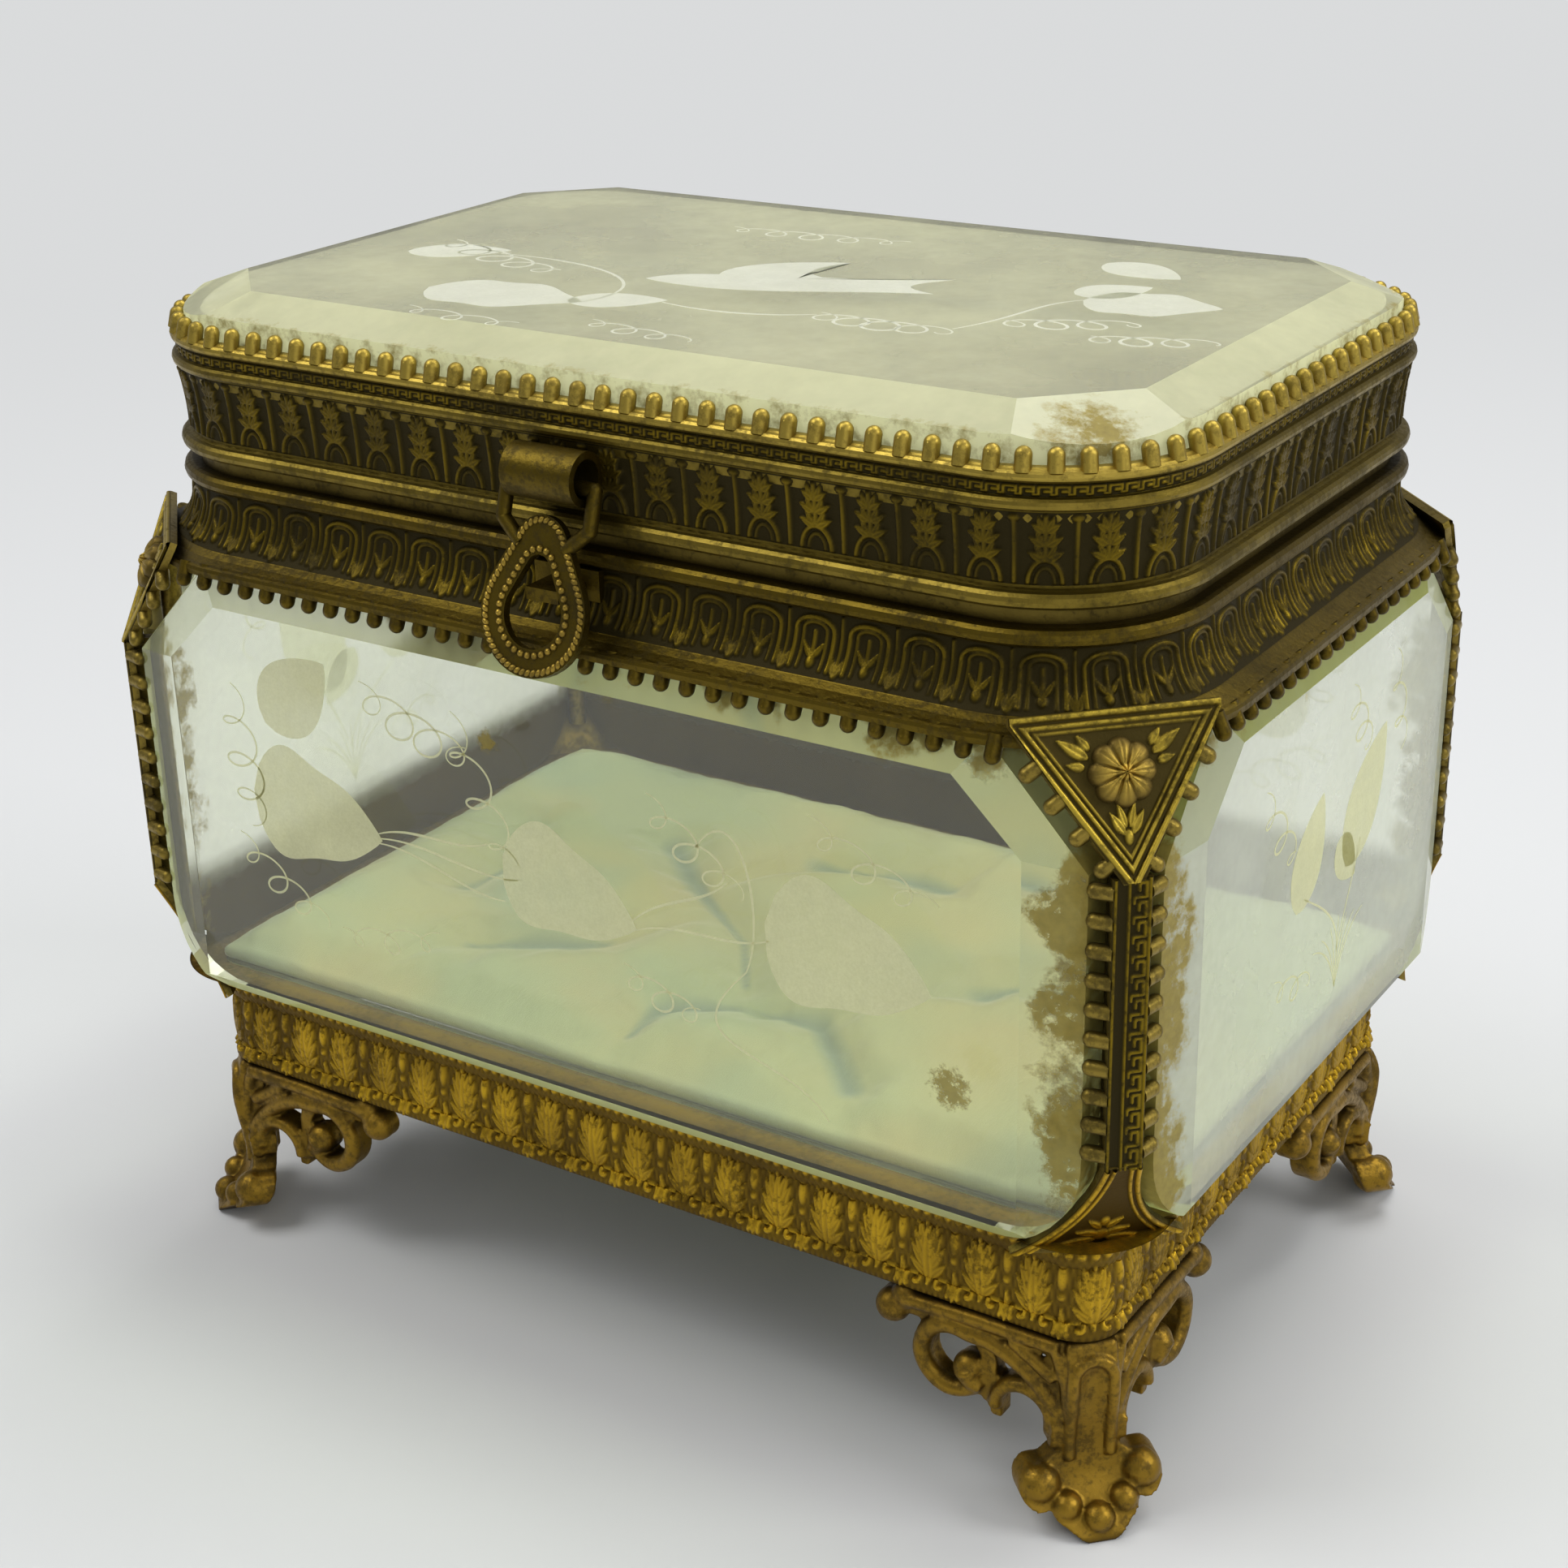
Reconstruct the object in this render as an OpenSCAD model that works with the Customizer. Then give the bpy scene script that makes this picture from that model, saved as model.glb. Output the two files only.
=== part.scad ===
// Bevelled glass casket box with a stamped gilt metal frame, a hinged lid, a hasp and four scroll feet.
// Units are millimetres. X runs along the long front, the front faces -Y and Z points up.
// The origin is on the ground under the middle of the whole box.

/* [Glass walls] */
// Width over the glass of the two ends
body_w = 139; // [120:0.5:180]
// Depth over the glass of the front and back
body_d = 93.4; // [80:0.5:130]
// Height of the glass walls
wall_h = 55.4; // [45:0.1:80]
// Thickness of the wall glass
wall_t = 5.6; // [4.5:0.1:6.5]
// Width of the bevel down the ends of a wall
side_bevel = 6.4; // [4:0.1:8]
// Height of the bevel along the top of a wall
top_bevel = 4.6; // [3:0.1:6]
// Depth of the wall bevels at the ends
bevel_drop = 1.5; // [0.8:0.1:2]
// Depth of the wall bevel at the top
top_drop = 2.2; // [1.5:0.1:2.6]
// Radius of the lower corners of a wall
wall_corner_r = 10; // [7:0.5:12]

/* [Frame] */
// Thickness of the stamped sheet
sheet = 0.8; // [0.6:0.1:1.2]
// Step in from the wall glass to the sides of the lid
frame_step = 4.5; // [4:0.1:6]
// Corner radius of the lid and the collar
frame_r = 17.3; // [14:0.1:22]
// Height of the collar above the walls
collar_h = 9.5; // [8.5:0.1:13]
// Spacing of the prongs that hold the glass
prong_pitch = 3.2; // [2.6:0.1:4]
// Diameter of a prong
prong_d = 1.7; // [1.2:0.1:2]
// Length of a prong on the walls
prong_l = 2.8; // [2:0.1:3.4]

/* [Lid] */
// Gap between the collar and the lid
lid_gap = 1.5; // [1:0.1:2]
// Height of the lid's stamped side
lid_side_h = 13.9; // [12:0.1:18]
// Thickness of the lid glass
lid_glass_t = 6.5; // [5.5:0.1:8]
// Width of the bevel round the lid glass
lid_bevel = 5.6; // [4:0.1:9]
// Drop of the lid bevel at the edge of the glass
lid_bevel_drop = 2; // [1:0.1:3]

/* [Base] */
// Clear height of the base band above the ground
foot_h = 21.9; // [17:0.1:28]
// Height of the base band up to the walls
base_h = 15.2; // [14:0.1:20]
// Step in from the wall glass to the base band
base_step = 7.2; // [6:0.1:8]
// Corner radius of the base band
base_r = 4.5; // [3:0.1:7]
// Thickness of the bottom glass
bottom_t = 4; // [3:0.1:5]
// Height of the silk pad
pad_h = 4.4; // [3:0.1:10]

/* [Corner posts] */
// Width of the flat strip up a corner
post_w = 4; // [3:0.1:5]
// Depth of the strip inside the sharp corner of the glass
post_inset = 4.1; // [3.8:0.1:4.6]
// Height of the upper corner plate along its slope
upper_plate_h = 16.2; // [12:0.1:18]
// Half width of the upper corner plate at the top
upper_plate_w = 10.5; // [8:0.1:12]
// Lean of the upper corner plate
upper_lean = 25; // [20:1:28]
// Height of the lower corner plate along its slope
lower_plate_h = 15.6; // [12:0.1:18]
// Half width of the lower corner plate at the bottom
lower_plate_w = 9.4; // [7:0.1:10]
// Lean of the lower corner plate
lower_lean = 28.7; // [24:0.1:32]
// Radius of a rosette
rosette_r = 3.4; // [2.5:0.1:4]

/* [Feet] */
// Radius of the big scroll on a foot
scroll_r = 5.1; // [4:0.1:6]
// Distance of the big scroll from the corner of the base
scroll_run = 16.8; // [15:0.1:20]
// Thickness of the cast scrollwork
scroll_t = 2.4; // [1.8:0.1:3]
// Width of the fluted leg
leg_w = 5.6; // [4.5:0.1:7]
// Radius of the balls beside the toe
toe_ball_r = 2.2; // [1.6:0.1:2.6]
// Half distance between the balls beside the toe
toe_ball_y = 5.9; // [5:0.1:8]

/* [Clasp] */
// Length of the rolled tube on the lid
tube_l = 9; // [7:0.1:12]
// Outer radius of the rolled tube
tube_r = 2.9; // [2.6:0.1:3.4]
// Wall of the rolled tube
tube_wall = 0.8; // [0.6:0.1:0.9]
// Radius of the wire bail
bail_r = 0.8; // [0.6:0.05:0.9]
// Radius of the lower round of the hasp
hasp_r = 6.7; // [6:0.1:8]
// Length from the bail to the bottom of the hasp
hasp_l = 20.3; // [19:0.1:22]
// Thickness of the hasp
hasp_t = 1; // [0.8:0.1:1.2]
// Outward lean of the hasp as it hangs
hasp_lean = 17; // [16:1:20]

/* [Hinges] */
// Distance of each hinge from the middle
hinge_x = 32; // [24:0.5:40]
// Length of one hinge
hinge_l = 18; // [14:0.5:24]
// Outer radius of the hinge knuckles
knuckle_r = 1.7; // [1.5:0.05:2]
// Radius of the hinge pins
pin_r = 0.8; // [0.6:0.05:1]

/* [Fits] */
// Running clearance of the hinge pins
pin_clearance = 0.05; // [0.03:0.01:0.1]
// Gap between parts that move past each other
moving_gap = 0.3; // [0.25:0.05:0.6]

/* [Hidden] */
$fn = 48;

// Half sizes of the walls, the frame and the base
body_hw = body_w / 2;
body_hd = body_d / 2;
frame_hw = body_hw - frame_step;
frame_hd = body_hd - frame_step;
base_hw = body_hw - base_step;
base_hd = body_hd - base_step;

// Heights from the ground up
wall_z = foot_h + base_h;
collar_z = wall_z + wall_h;
rim_z = collar_z + collar_h;
lid_z = rim_z + lid_gap;
liner_top = lid_z + 1.6;
lid_rim_z = lid_z + lid_side_h;
lid_edge_z = lid_rim_z + 2.6;
lid_top_z = lid_edge_z + lid_bevel_drop;
lid_glass_z = lid_top_z - lid_glass_t;

// Corner posts: the panels stop short of the corner and a web fills the slot between them
panel_stop = wall_t + 1.3;
post_h = wall_h - 23.4;
post_top_z = collar_z + 2.2 - upper_plate_h * cos(upper_lean);
post_low_z = post_top_z - post_h;
inner_bead_r = 1.3;
web_t = 1.5;

// The bail hangs on the bottom of the tube's bore
bore_r = tube_r - tube_wall;
tube_out = tube_r - 0.85;
tube_z = lid_z + 6.6;
bail_drop = bore_r - bail_r - moving_gap;
bail_z = tube_z - bail_drop;
bail_y = -(frame_hd + tube_out);
bail_x = tube_l / 2 + moving_gap + bail_r;
bail_leg = 4.2;
bail_end_x = 2.9;
bail_end_low = 6.6;
catch_z = collar_z + 5.2;
catch_reach = 4.7;

// Hinge axis in the middle of the gap, behind the frame
hinge_out = knuckle_r + 0.2;
hinge_y = frame_hd + hinge_out;
hinge_z = rim_z + lid_gap / 2;
seat_out = 0.5;
leaf_h = 5.6;
knuckle_l = (hinge_l - 2 * moving_gap) / 3;

// Prongs of the collar fold down along the top bevel of the walls
shoulder_prong = prong_l + 0.2;
shoulder_fold = 90 - atan(top_drop / top_bevel);
shoulder_root = frame_step - top_drop + prong_d / 2 + 0.2;
shoulder_reach = shoulder_root + (shoulder_prong - prong_d / 2) * cos(shoulder_fold) + prong_d / 2;

// The whole box is set back so that its middle stays over the origin with the hasp in front
front_reach = -bail_y + hasp_l * sin(hasp_lean) + hasp_t / 2 * cos(hasp_lean);
centre_y = (front_reach - frame_hd - shoulder_reach) / 2;

gilt = [0.72, 0.55, 0.22];
old_gilt = [0.5, 0.38, 0.16];
glass = [0.78, 0.82, 0.68, 0.5];
silk = [0.85, 0.87, 0.74];

// ---- Helpers ----

// Position and outward direction at a distance along a rounded rectangle, from the front left
function half_track(s, hw, hd, r) =
    let (a = 2 * (hw - r), b = 2 * (hd - r), q = PI * r / 2)
    s < a ? [s - hw + r, -hd, -90] :
    s < a + q ? let (t = (s - a) / q * 90 - 90) [hw - r + r * cos(t), r - hd + r * sin(t), t] :
    s < a + q + b ? [hw, s - a - q - hd + r, 0] :
    let (t = (s - a - q - b) / q * 90) [hw - r + r * cos(t), hd - r + r * sin(t), t];

function track(s, hw, hd, r) =
    let (half = track_len(hw, hd, r) / 2, p = half_track(s % half, hw, hd, r))
    s < half ? p : [-p[0], -p[1], p[2] + 180];

function track_len(hw, hd, r) = 4 * (hw + hd - 2 * r) + 2 * PI * r;

// Points of a circular arc, from one angle to another
function arc(centre, r, from, to, steps = 6) =
    [for (i = [0 : steps]) let (t = from + (to - from) * i / steps) centre + r * [cos(t), sin(t)]];

// Points of a smooth curve through four control points
function bezier(p, steps = 8) =
    [for (i = [0 : steps]) let (t = i / steps, u = 1 - t)
        u * u * u * p[0] + 3 * u * u * t * p[1] + 3 * u * t * t * p[2] + t * t * t * p[3]];

// A half-round bead standing on the outside of a profile
function bead(x, z, r) = arc([x, z], r, -90, 90, 6);

// Sweeps a profile round a rounded rectangle; the profile's x counts from the corner centre
module ring(hw, hd, r) {
    for (k = [0 : 3]) {
        run = k % 2 == 0 ? hw - r : hd - r;
        out = k % 2 == 0 ? hd - r : hw - r;
        rotate(90 * k) {
            translate([-run, out, 0]) rotate([90, 0, 90]) linear_extrude(2 * run) children();
            translate([run, out, 0]) rotate_extrude(angle = 90) children();
        }
    }
}

module rounded_plate(hw, hd, r, h) {
    linear_extrude(h) polygon([for (c = [[1, 1, 0], [-1, 1, 90], [-1, -1, 180], [1, -1, 270]])
        each arc([c[0] * (hw - r), c[1] * (hd - r)], r, c[2], c[2] + 90, 10)]);
}

// Children are drawn with +X pointing out over the corner from the sharp corner of the glass
module at_corner(sx, sy) {
    translate([sx * body_hw, centre_y + sy * body_hd, 0]) rotate(atan2(sy, sx)) children();
}

module centred() {
    translate([0, centre_y, 0]) children();
}

// A round finger that starts in the frame and reaches over the glass along +X
module prong(l = prong_l) {
    rotate([0, 90, 0]) cylinder(d = prong_d, h = l - prong_d / 2);
    translate([l - prong_d / 2, 0, 0]) sphere(d = prong_d);
}

// Cuts a bevel of a given width and drop off the upper face of a plate, at a distance from its middle
module bevel_cut(angle, distance, width, drop, t) {
    reach = body_w;
    rotate(angle) translate([distance - width, -reach, t]) rotate([0, atan(drop / width), 0])
        cube([width * 2, 2 * reach, drop * 3]);
}

// ---- Glass ----

// One wall lying on its inner face, with its bottom edge on the X axis
module wall_plate(half_l) {
    slant_w = upper_plate_w * 1.15;
    slant_h = upper_plate_h * 0.78;
    slant = atan2(slant_w, slant_h);
    outline = concat(
        arc([wall_corner_r - half_l, wall_corner_r], wall_corner_r, 180, 270, 8),
        arc([half_l - wall_corner_r, wall_corner_r], wall_corner_r, 270, 360, 8),
        [[half_l, wall_h - slant_h], [half_l - slant_w, wall_h],
         [slant_w - half_l, wall_h], [-half_l, wall_h - slant_h]]);
    difference() {
        linear_extrude(wall_t) polygon(outline);
        bevel_cut(0, half_l, side_bevel, bevel_drop, wall_t);
        bevel_cut(180, half_l, side_bevel, bevel_drop, wall_t);
        bevel_cut(90, wall_h, top_bevel, top_drop, wall_t);
        bevel_cut(270, 0, 1.6, bevel_drop * 0.7, wall_t);
        for (side = [-1, 1])
            translate([side * half_l, wall_h - slant_h, 0])
                bevel_cut(90 - side * slant, 0, 4, bevel_drop, wall_t);
    }
}

module glass_wall(half_l, out, angle) {
    color(glass) centred() rotate(angle) translate([0, wall_t - out, wall_z])
        rotate([90, 0, 0]) wall_plate(half_l);
}

module front_glass() { glass_wall(body_hw - panel_stop, body_hd, 0); }
module back_glass() { glass_wall(body_hw - panel_stop, body_hd, 180); }
module left_glass() { glass_wall(body_hd - panel_stop, body_hw, -90); }
module right_glass() { glass_wall(body_hd - panel_stop, body_hw, 90); }

module bottom_glass() {
    ledge = 1.5;
    color(glass) centred() translate([0, 0, wall_z - bottom_t])
        rounded_plate(base_hw - ledge, base_hd - ledge, base_r - ledge, bottom_t);
}

module lid_glass() {
    glass_step = 1.6;
    hw = frame_hw - glass_step;
    hd = frame_hd - glass_step;
    clip = 9;
    color(glass) centred() translate([0, 0, lid_glass_z]) difference() {
        rounded_plate(hw, hd, frame_r - glass_step, lid_glass_t);
        for (side = [0, 180]) {
            bevel_cut(side, hw, lid_bevel, lid_bevel_drop, lid_glass_t);
            bevel_cut(side + 90, hd, lid_bevel, lid_bevel_drop, lid_glass_t);
        }
        for (sx = [-1, 1], sy = [-1, 1]) {
            flat = (hw + hd - 2 * lid_bevel - clip) / sqrt(2);
            bevel_cut(atan2(sy, sx), flat + lid_bevel * 1.3,
                      lid_bevel * 1.3, lid_bevel_drop * 1.3, lid_glass_t);
        }
    }
}

module silk_pad() {
    play = 2;
    color(silk) centred() translate([0, 0, wall_z])
        rounded_plate(base_hw - play, base_hd - play, base_r + play, pad_h);
}

// ---- Base ----

module base_profile() {
    inner = -1.4;
    floor_z = base_h - bottom_t;
    translate([base_r, foot_h]) polygon(concat(
        [[inner, 0], [-0.6, 0]], bead(-0.2, 1.1, 0.8), [[-0.2, 2.2]],
        bezier([[-0.2, 2.2], [0.5, 4.5], [0.4, 7], [-0.2, base_h - 5.6]], 5),
        bead(-0.1, base_h - 4.8, 0.6), [[0.1, base_h - 3.8]],
        bezier([[0.3, base_h - 3], [0.6, base_h - 1.4], [2.6, base_h - 0.7], [5.4, base_h - 0.6]], 5),
        [[5.4, base_h], [inner, base_h], [inner, floor_z], [inner - 3, floor_z],
         [inner - 3, floor_z - 1], [inner, floor_z - 1]]));
}

module base_band() {
    color(gilt) centred() difference() {
        ring(base_hw, base_hd, base_r) base_profile();
        plate_space(post_low_z, -lower_lean, lower_plate_w + 4, -lower_plate_h - 1.5, 0);
    }
}

// ---- Collar and lid frame ----

module collar_profile() {
    lip = 4.7;
    inner = -1.8;
    translate([frame_r, collar_z]) polygon(concat(
        [[inner, 0], [lip - 1.2, 0], [lip, -1]], arc([lip - 0.5, -0.4], 0.5, 0, 90, 2),
        bezier([[lip - 0.9, 0.2], [1.4, 0.9], [0, 2.6], [-0.6, 5]], 7),
        [[-0.8, collar_h - 2.3]], bead(-0.7, collar_h - 1.3, 1), [[inner, collar_h - 0.3]]));
}

// Side prongs run between the corner plates and fold down over the top bevel of the walls
module shoulder_prongs() {
    for (k = [0 : 3]) {
        run = (k % 2 == 0 ? body_hw : body_hd) - upper_plate_w * 1.35 - prong_pitch / 2;
        out = (k % 2 == 0 ? frame_hd : frame_hw) + shoulder_root;
        count = floor(2 * run / prong_pitch);
        rotate(90 * k) for (i = [0 : count])
            translate([(i - count / 2) * prong_pitch, -out, collar_z])
                rotate([0, shoulder_fold, -90]) prong(shoulder_prong);
    }
}

// Space over the four corners in front of a leaning plate, from low to high along the plate
module plate_space(z, lean, wide, low, high) {
    depth = 12;
    for (sx = [-1, 1], sy = [-1, 1]) translate([sx * body_hw, sy * body_hd, 0])
        rotate(atan2(sy, sx)) translate([-post_inset, 0, z]) rotate([0, -lean, 0])
            translate([-sheet, -wide, low]) cube([depth, 2 * wide, high - low]);
}

module collar() {
    seat_h = 6;
    color(old_gilt) centred() difference() {
        union() {
            ring(frame_hw, frame_hd, frame_r) collar_profile();
            shoulder_prongs();
            for (x = [-hinge_x, hinge_x])
                translate([x - hinge_l / 2 - 1, frame_hd - 1.2, rim_z - seat_h - 1])
                    cube([hinge_l + 2, 1.2 + seat_out, seat_h + 1]);
        }
        plate_space(post_top_z, upper_lean, upper_plate_w + 4, -1, upper_plate_h + 0.4);
        translate([0, hinge_y, hinge_z]) rotate([0, 90, 0])
            cylinder(r = knuckle_r + moving_gap, h = 2 * (hinge_x + hinge_l), center = true);
    }
}

module lid_profile() {
    h = lid_side_h;
    inner = -1.4;
    translate([frame_r, lid_z]) polygon(concat(
        [[inner, 0], [-0.9, 0]], bead(-0.7, 0.9, 0.9), [[-1.1, 2]],
        bezier([[-1.1, 2.2], [-1.1, 5], [-0.9, 8], [-0.4, h - 4.4]], 4),
        bead(-0.4, h - 3.5, 0.7), [[-0.5, h - 2.7], [-0.5, h - 1.6]],
        bead(-0.4, h - 0.8, 0.65), [[-0.6, h], [inner, h]]));
}

module lid_prongs() {
    length = track_len(frame_hw, frame_hd, frame_r);
    count = round(length / prong_pitch);
    lean = 76;
    for (i = [0 : count - 1]) {
        p = track(length * (i + 0.5) / count, frame_hw, frame_hd, frame_r);
        translate([p[0], p[1], lid_rim_z - 0.5]) rotate(p[2] + 180)
            translate([0.45, 0, 0]) rotate([0, -lean, 0]) prong(2.5);
    }
}

module lid_frame() {
    seat_h = 6;
    color(old_gilt) centred() difference() {
        union() {
            ring(frame_hw, frame_hd, frame_r) lid_profile();
            lid_prongs();
            for (x = [-hinge_x, hinge_x])
                translate([x - hinge_l / 2 - 1, frame_hd - 1.3, lid_z])
                    cube([hinge_l + 2, 1.3 + seat_out, seat_h]);
        }
        translate([0, hinge_y, hinge_z]) rotate([0, 90, 0])
            cylinder(r = knuckle_r + moving_gap, h = 2 * (hinge_x + hinge_l), center = true);
    }
}

// Liner inside the collar; its lip stands up into the lid and closes the gap
module collar_liner() {
    out = -1.8;
    low = collar_z + 1;
    color(gilt) centred() ring(frame_hw, frame_hd, frame_r)
        translate([frame_r + out - sheet, low]) square([sheet, liner_top - low]);
}

// Ledge inside the lid frame that carries the lid glass
module lid_ledge() {
    inner = -1.4;
    width = 3.4;
    skirt_t = 0.6;
    low = liner_top + 3 * moving_gap;
    color(gilt) centred() ring(frame_hw, frame_hd, frame_r)
        translate([frame_r, 0]) polygon([
            [inner, low], [inner, lid_glass_z], [inner - width, lid_glass_z],
            [inner - width, lid_glass_z - sheet], [inner - skirt_t, lid_glass_z - sheet],
            [inner - skirt_t, low]]);
}

// ---- Corner posts ----

// Children lie flat, drawn in the plane of a corner plate that leans in over the corner
module leaning(z, lean) {
    translate([-post_inset, 0, z]) rotate([0, -lean, 0]) translate([-sheet, 0, 0])
        rotate([90, 0, 90]) linear_extrude(sheet) children();
}

module upper_plate() {
    leaning(post_top_z, upper_lean)
        polygon([[-1, -0.6], [1, -0.6],
                 [upper_plate_w, upper_plate_h - 0.8], [upper_plate_w, upper_plate_h],
                 [-upper_plate_w, upper_plate_h], [-upper_plate_w, upper_plate_h - 0.8]]);
}

// The lower plate spreads with hollow sides, like the foot of a tower
module lower_plate() {
    side = bezier([[post_w / 2, 0.4], [post_w / 2 + 0.5, -lower_plate_h * 0.5],
                   [lower_plate_w * 0.6, -lower_plate_h * 0.8],
                   [lower_plate_w, -lower_plate_h + 0.9]], 8);
    count = len(side);
    leaning(post_low_z, -lower_lean)
        polygon(concat(
            side, [for (x = [0.5, -0.5]) [lower_plate_w * x, -lower_plate_h - 0.3]],
            [for (i = [1 : count]) [-side[count - i][0], side[count - i][1]]]));
}

// Prongs on both sides of the strip and along the two slopes of the upper plate
module post_prongs() {
    fold = 33;
    rows = floor(post_h / prong_pitch);
    for (side = [-1, 1]) {
        for (i = [0 : rows - 1])
            translate([-post_inset - sheet / 2, side * (post_w / 2 - 0.4),
                       post_low_z + (i + 0.5) * post_h / rows])
                rotate(side * (90 + fold)) prong();
        slope = atan2(upper_plate_h, upper_plate_w);
        for (i = [1 : 4]) {
            t = (i - 0.4) / 5;
            translate([-post_inset, 0, post_top_z]) rotate([0, -upper_lean, 0])
                translate([-sheet / 2 - 0.1, side * upper_plate_w * t, upper_plate_h * t])
                    rotate([side * (90 - slope) * -1, 0, 0]) rotate(side * (90 + 14)) prong(prong_l - 0.2);
        }
    }
}

module corner_post(sx, sy) {
    web_in = panel_stop * sqrt(2) - 0.4;
    bead_in = (panel_stop + wall_t) / sqrt(2) + 1.06;
    bead_z = wall_z + pad_h;
    bead_top = post_top_z + (bead_in - inner_bead_r - post_inset) / tan(upper_lean);
    color(old_gilt) at_corner(sx, sy) {
        translate([-post_inset - sheet, -post_w / 2, post_low_z]) cube([sheet, post_w, post_h]);
        upper_plate();
        lower_plate();
        post_prongs();
        translate([-web_in, -web_t / 2, post_low_z])
            cube([web_in - post_inset - sheet / 2, web_t, post_h]);
        translate([-bead_in, 0, bead_z]) cylinder(r = inner_bead_r, h = bead_top - bead_z);
    }
}

module post_front_left() { corner_post(-1, -1); }
module post_front_right() { corner_post(1, -1); }
module post_back_left() { corner_post(-1, 1); }
module post_back_right() { corner_post(1, 1); }

// Domed stud with eight round petals
module rosette(sx, sy) {
    petals = 8;
    rise = 1.3;
    color(gilt) at_corner(sx, sy) translate([-post_inset, 0, post_top_z]) rotate([0, -upper_lean, 0])
        translate([0, 0, upper_plate_h * 0.62]) rotate([0, 90, 0]) {
            cylinder(r = rosette_r * 0.62, h = rise);
            translate([0, 0, rise]) scale(rosette_r * 0.28) sphere(1);
            for (i = [0 : petals - 1]) rotate(i * 360 / petals)
                translate([rosette_r * 0.66, 0, 0]) cylinder(r = rosette_r * 0.33, h = rise * 0.75);
        }
}

module rosette_front_left() { rosette(-1, -1); }
module rosette_front_right() { rosette(1, -1); }
module rosette_back_left() { rosette(-1, 1); }
module rosette_back_right() { rosette(1, 1); }

// ---- Feet ----

// Scrollwork of one side of a foot; X runs away from the corner and Y is the height
module wing_outline() {
    inner_r = scroll_r * 0.62;
    centre = [scroll_run, foot_h - scroll_r - 1.2];
    arch = [scroll_run - scroll_r - 3.4, foot_h - 10.6];
    difference() {
        union() {
            translate([3, foot_h - 2.6]) square([scroll_run + scroll_r - 1.5, 2.6]);
            translate(centre) circle(scroll_r);
            translate(centre + [scroll_r + 3, 3.6]) circle(2);
            translate(centre + [scroll_r + 0.6, 4.6]) square([3, 2.9], center = true);
            translate(arch) circle(4.4);
            translate([2.5, foot_h - 9]) square([arch[0] - 2.5, 8]);
        }
        translate(centre) circle(inner_r);
        translate(arch) circle(2.7);
        translate([arch[0] - 2.7, foot_h - 22]) square([5.4, 11.4]);
        translate([arch[0] - 4.5, foot_h - 24]) square([9, 11.5]);
        polygon([[5.6, foot_h - 2.2], [9, foot_h - 2.2], [7.2, foot_h - 4.8]]);
    }
    translate(centre + [-1.6, -1.3]) circle(1.8);
    translate(centre + [-scroll_r * 0.8, -scroll_r * 0.72]) circle(1.1);
}

module wing() {
    wing_out = 0.4;
    translate([-base_step * sqrt(2), 0, 0]) rotate(-135) translate([0, wing_out, 0])
        rotate([90, 0, 0]) linear_extrude(scroll_t) wing_outline();
}

// Side view of the leg, from the band down to the toe
module leg_profile() {
    top = foot_h;
    polygon(concat(
        bezier([[-11.6, top], [-9.6, top - 5], [-12.2, top - 10], [-11.6, 8]], 8),
        bezier([[-11.4, 7.2], [-11, 4.4], [-8.6, 3.2], [-6.5, 0.8]], 6),
        [[-6.4, 0], [-10, 0]],
        bezier([[-11.4, 1.6], [-13.6, 3.6], [-15.2, 7], [-15, 12]], 6),
        [[-15.4, top]]));
}

// Front view of the leg and the lobed toe
module leg_outline() {
    knuckle_z = 10.4;
    translate([-leg_w / 2, 6]) square([leg_w, foot_h - 6]);
    translate([-leg_w / 2 - 1.5, knuckle_z - 1.3]) square([leg_w + 3, 2.8]);
    polygon([[-leg_w / 2, 9], [-toe_ball_y, 6.6], [-toe_ball_y * 0.8, 2.4], [-1.6, 0], [1.6, 0],
             [toe_ball_y * 0.8, 2.4], [toe_ball_y, 6.6], [leg_w / 2, 9]]);
    for (side = [-1, 1]) translate([side * toe_ball_y, 5.2]) circle(toe_ball_r);
}

module foot(sx, sy) {
    flute_r = 1.75;
    flute_low = 7.5;
    flute_top = foot_h - 2.2 - flute_r;
    small_ball_r = 1.35;
    color(gilt) at_corner(sx, sy) {
        difference() {
            intersection() {
                translate([0, 10, 0]) rotate([90, 0, 0]) linear_extrude(20) leg_profile();
                translate([-20, 0, 0]) rotate([90, 0, 90]) linear_extrude(20) leg_outline();
            }
            translate([-9.6, 0, flute_low]) cylinder(r = flute_r, h = flute_top - flute_low);
            translate([-9.6, 0, flute_top]) sphere(flute_r);
        }
        wing();
        mirror([0, 1, 0]) wing();
        for (side = [-1, 1]) {
            translate([-12, side * toe_ball_y, 5.2]) sphere(toe_ball_r);
            translate([-9.4, side * 3.4, 3.2]) sphere(small_ball_r);
        }
        translate([-8, 0, 2]) sphere(small_ball_r);
    }
}

module foot_front_left() { foot(-1, -1); }
module foot_front_right() { foot(1, -1); }
module foot_back_left() { foot(-1, 1); }
module foot_back_right() { foot(1, 1); }

// ---- Clasp ----

// Rolled tube on the front of the lid, open at both ends
module clasp_tube() {
    color(gilt) centred() translate([0, bail_y, tube_z]) rotate([0, 90, 0]) difference() {
        cylinder(r = tube_r, h = tube_l, center = true);
        cylinder(r = bore_r, h = tube_l + 2, center = true);
    }
}

// Children hang from the bail, with the bail's wire along X through the origin
module hanging() {
    centred() translate([0, bail_y, bail_z]) rotate([-hasp_lean, 0, 0]) children();
}

module rod(a, b, r) {
    v = b - a;
    translate(a) rotate([0, acos(v[2] / norm(v)), atan2(v[1], v[0])]) cylinder(r = r, h = norm(v));
}

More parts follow.
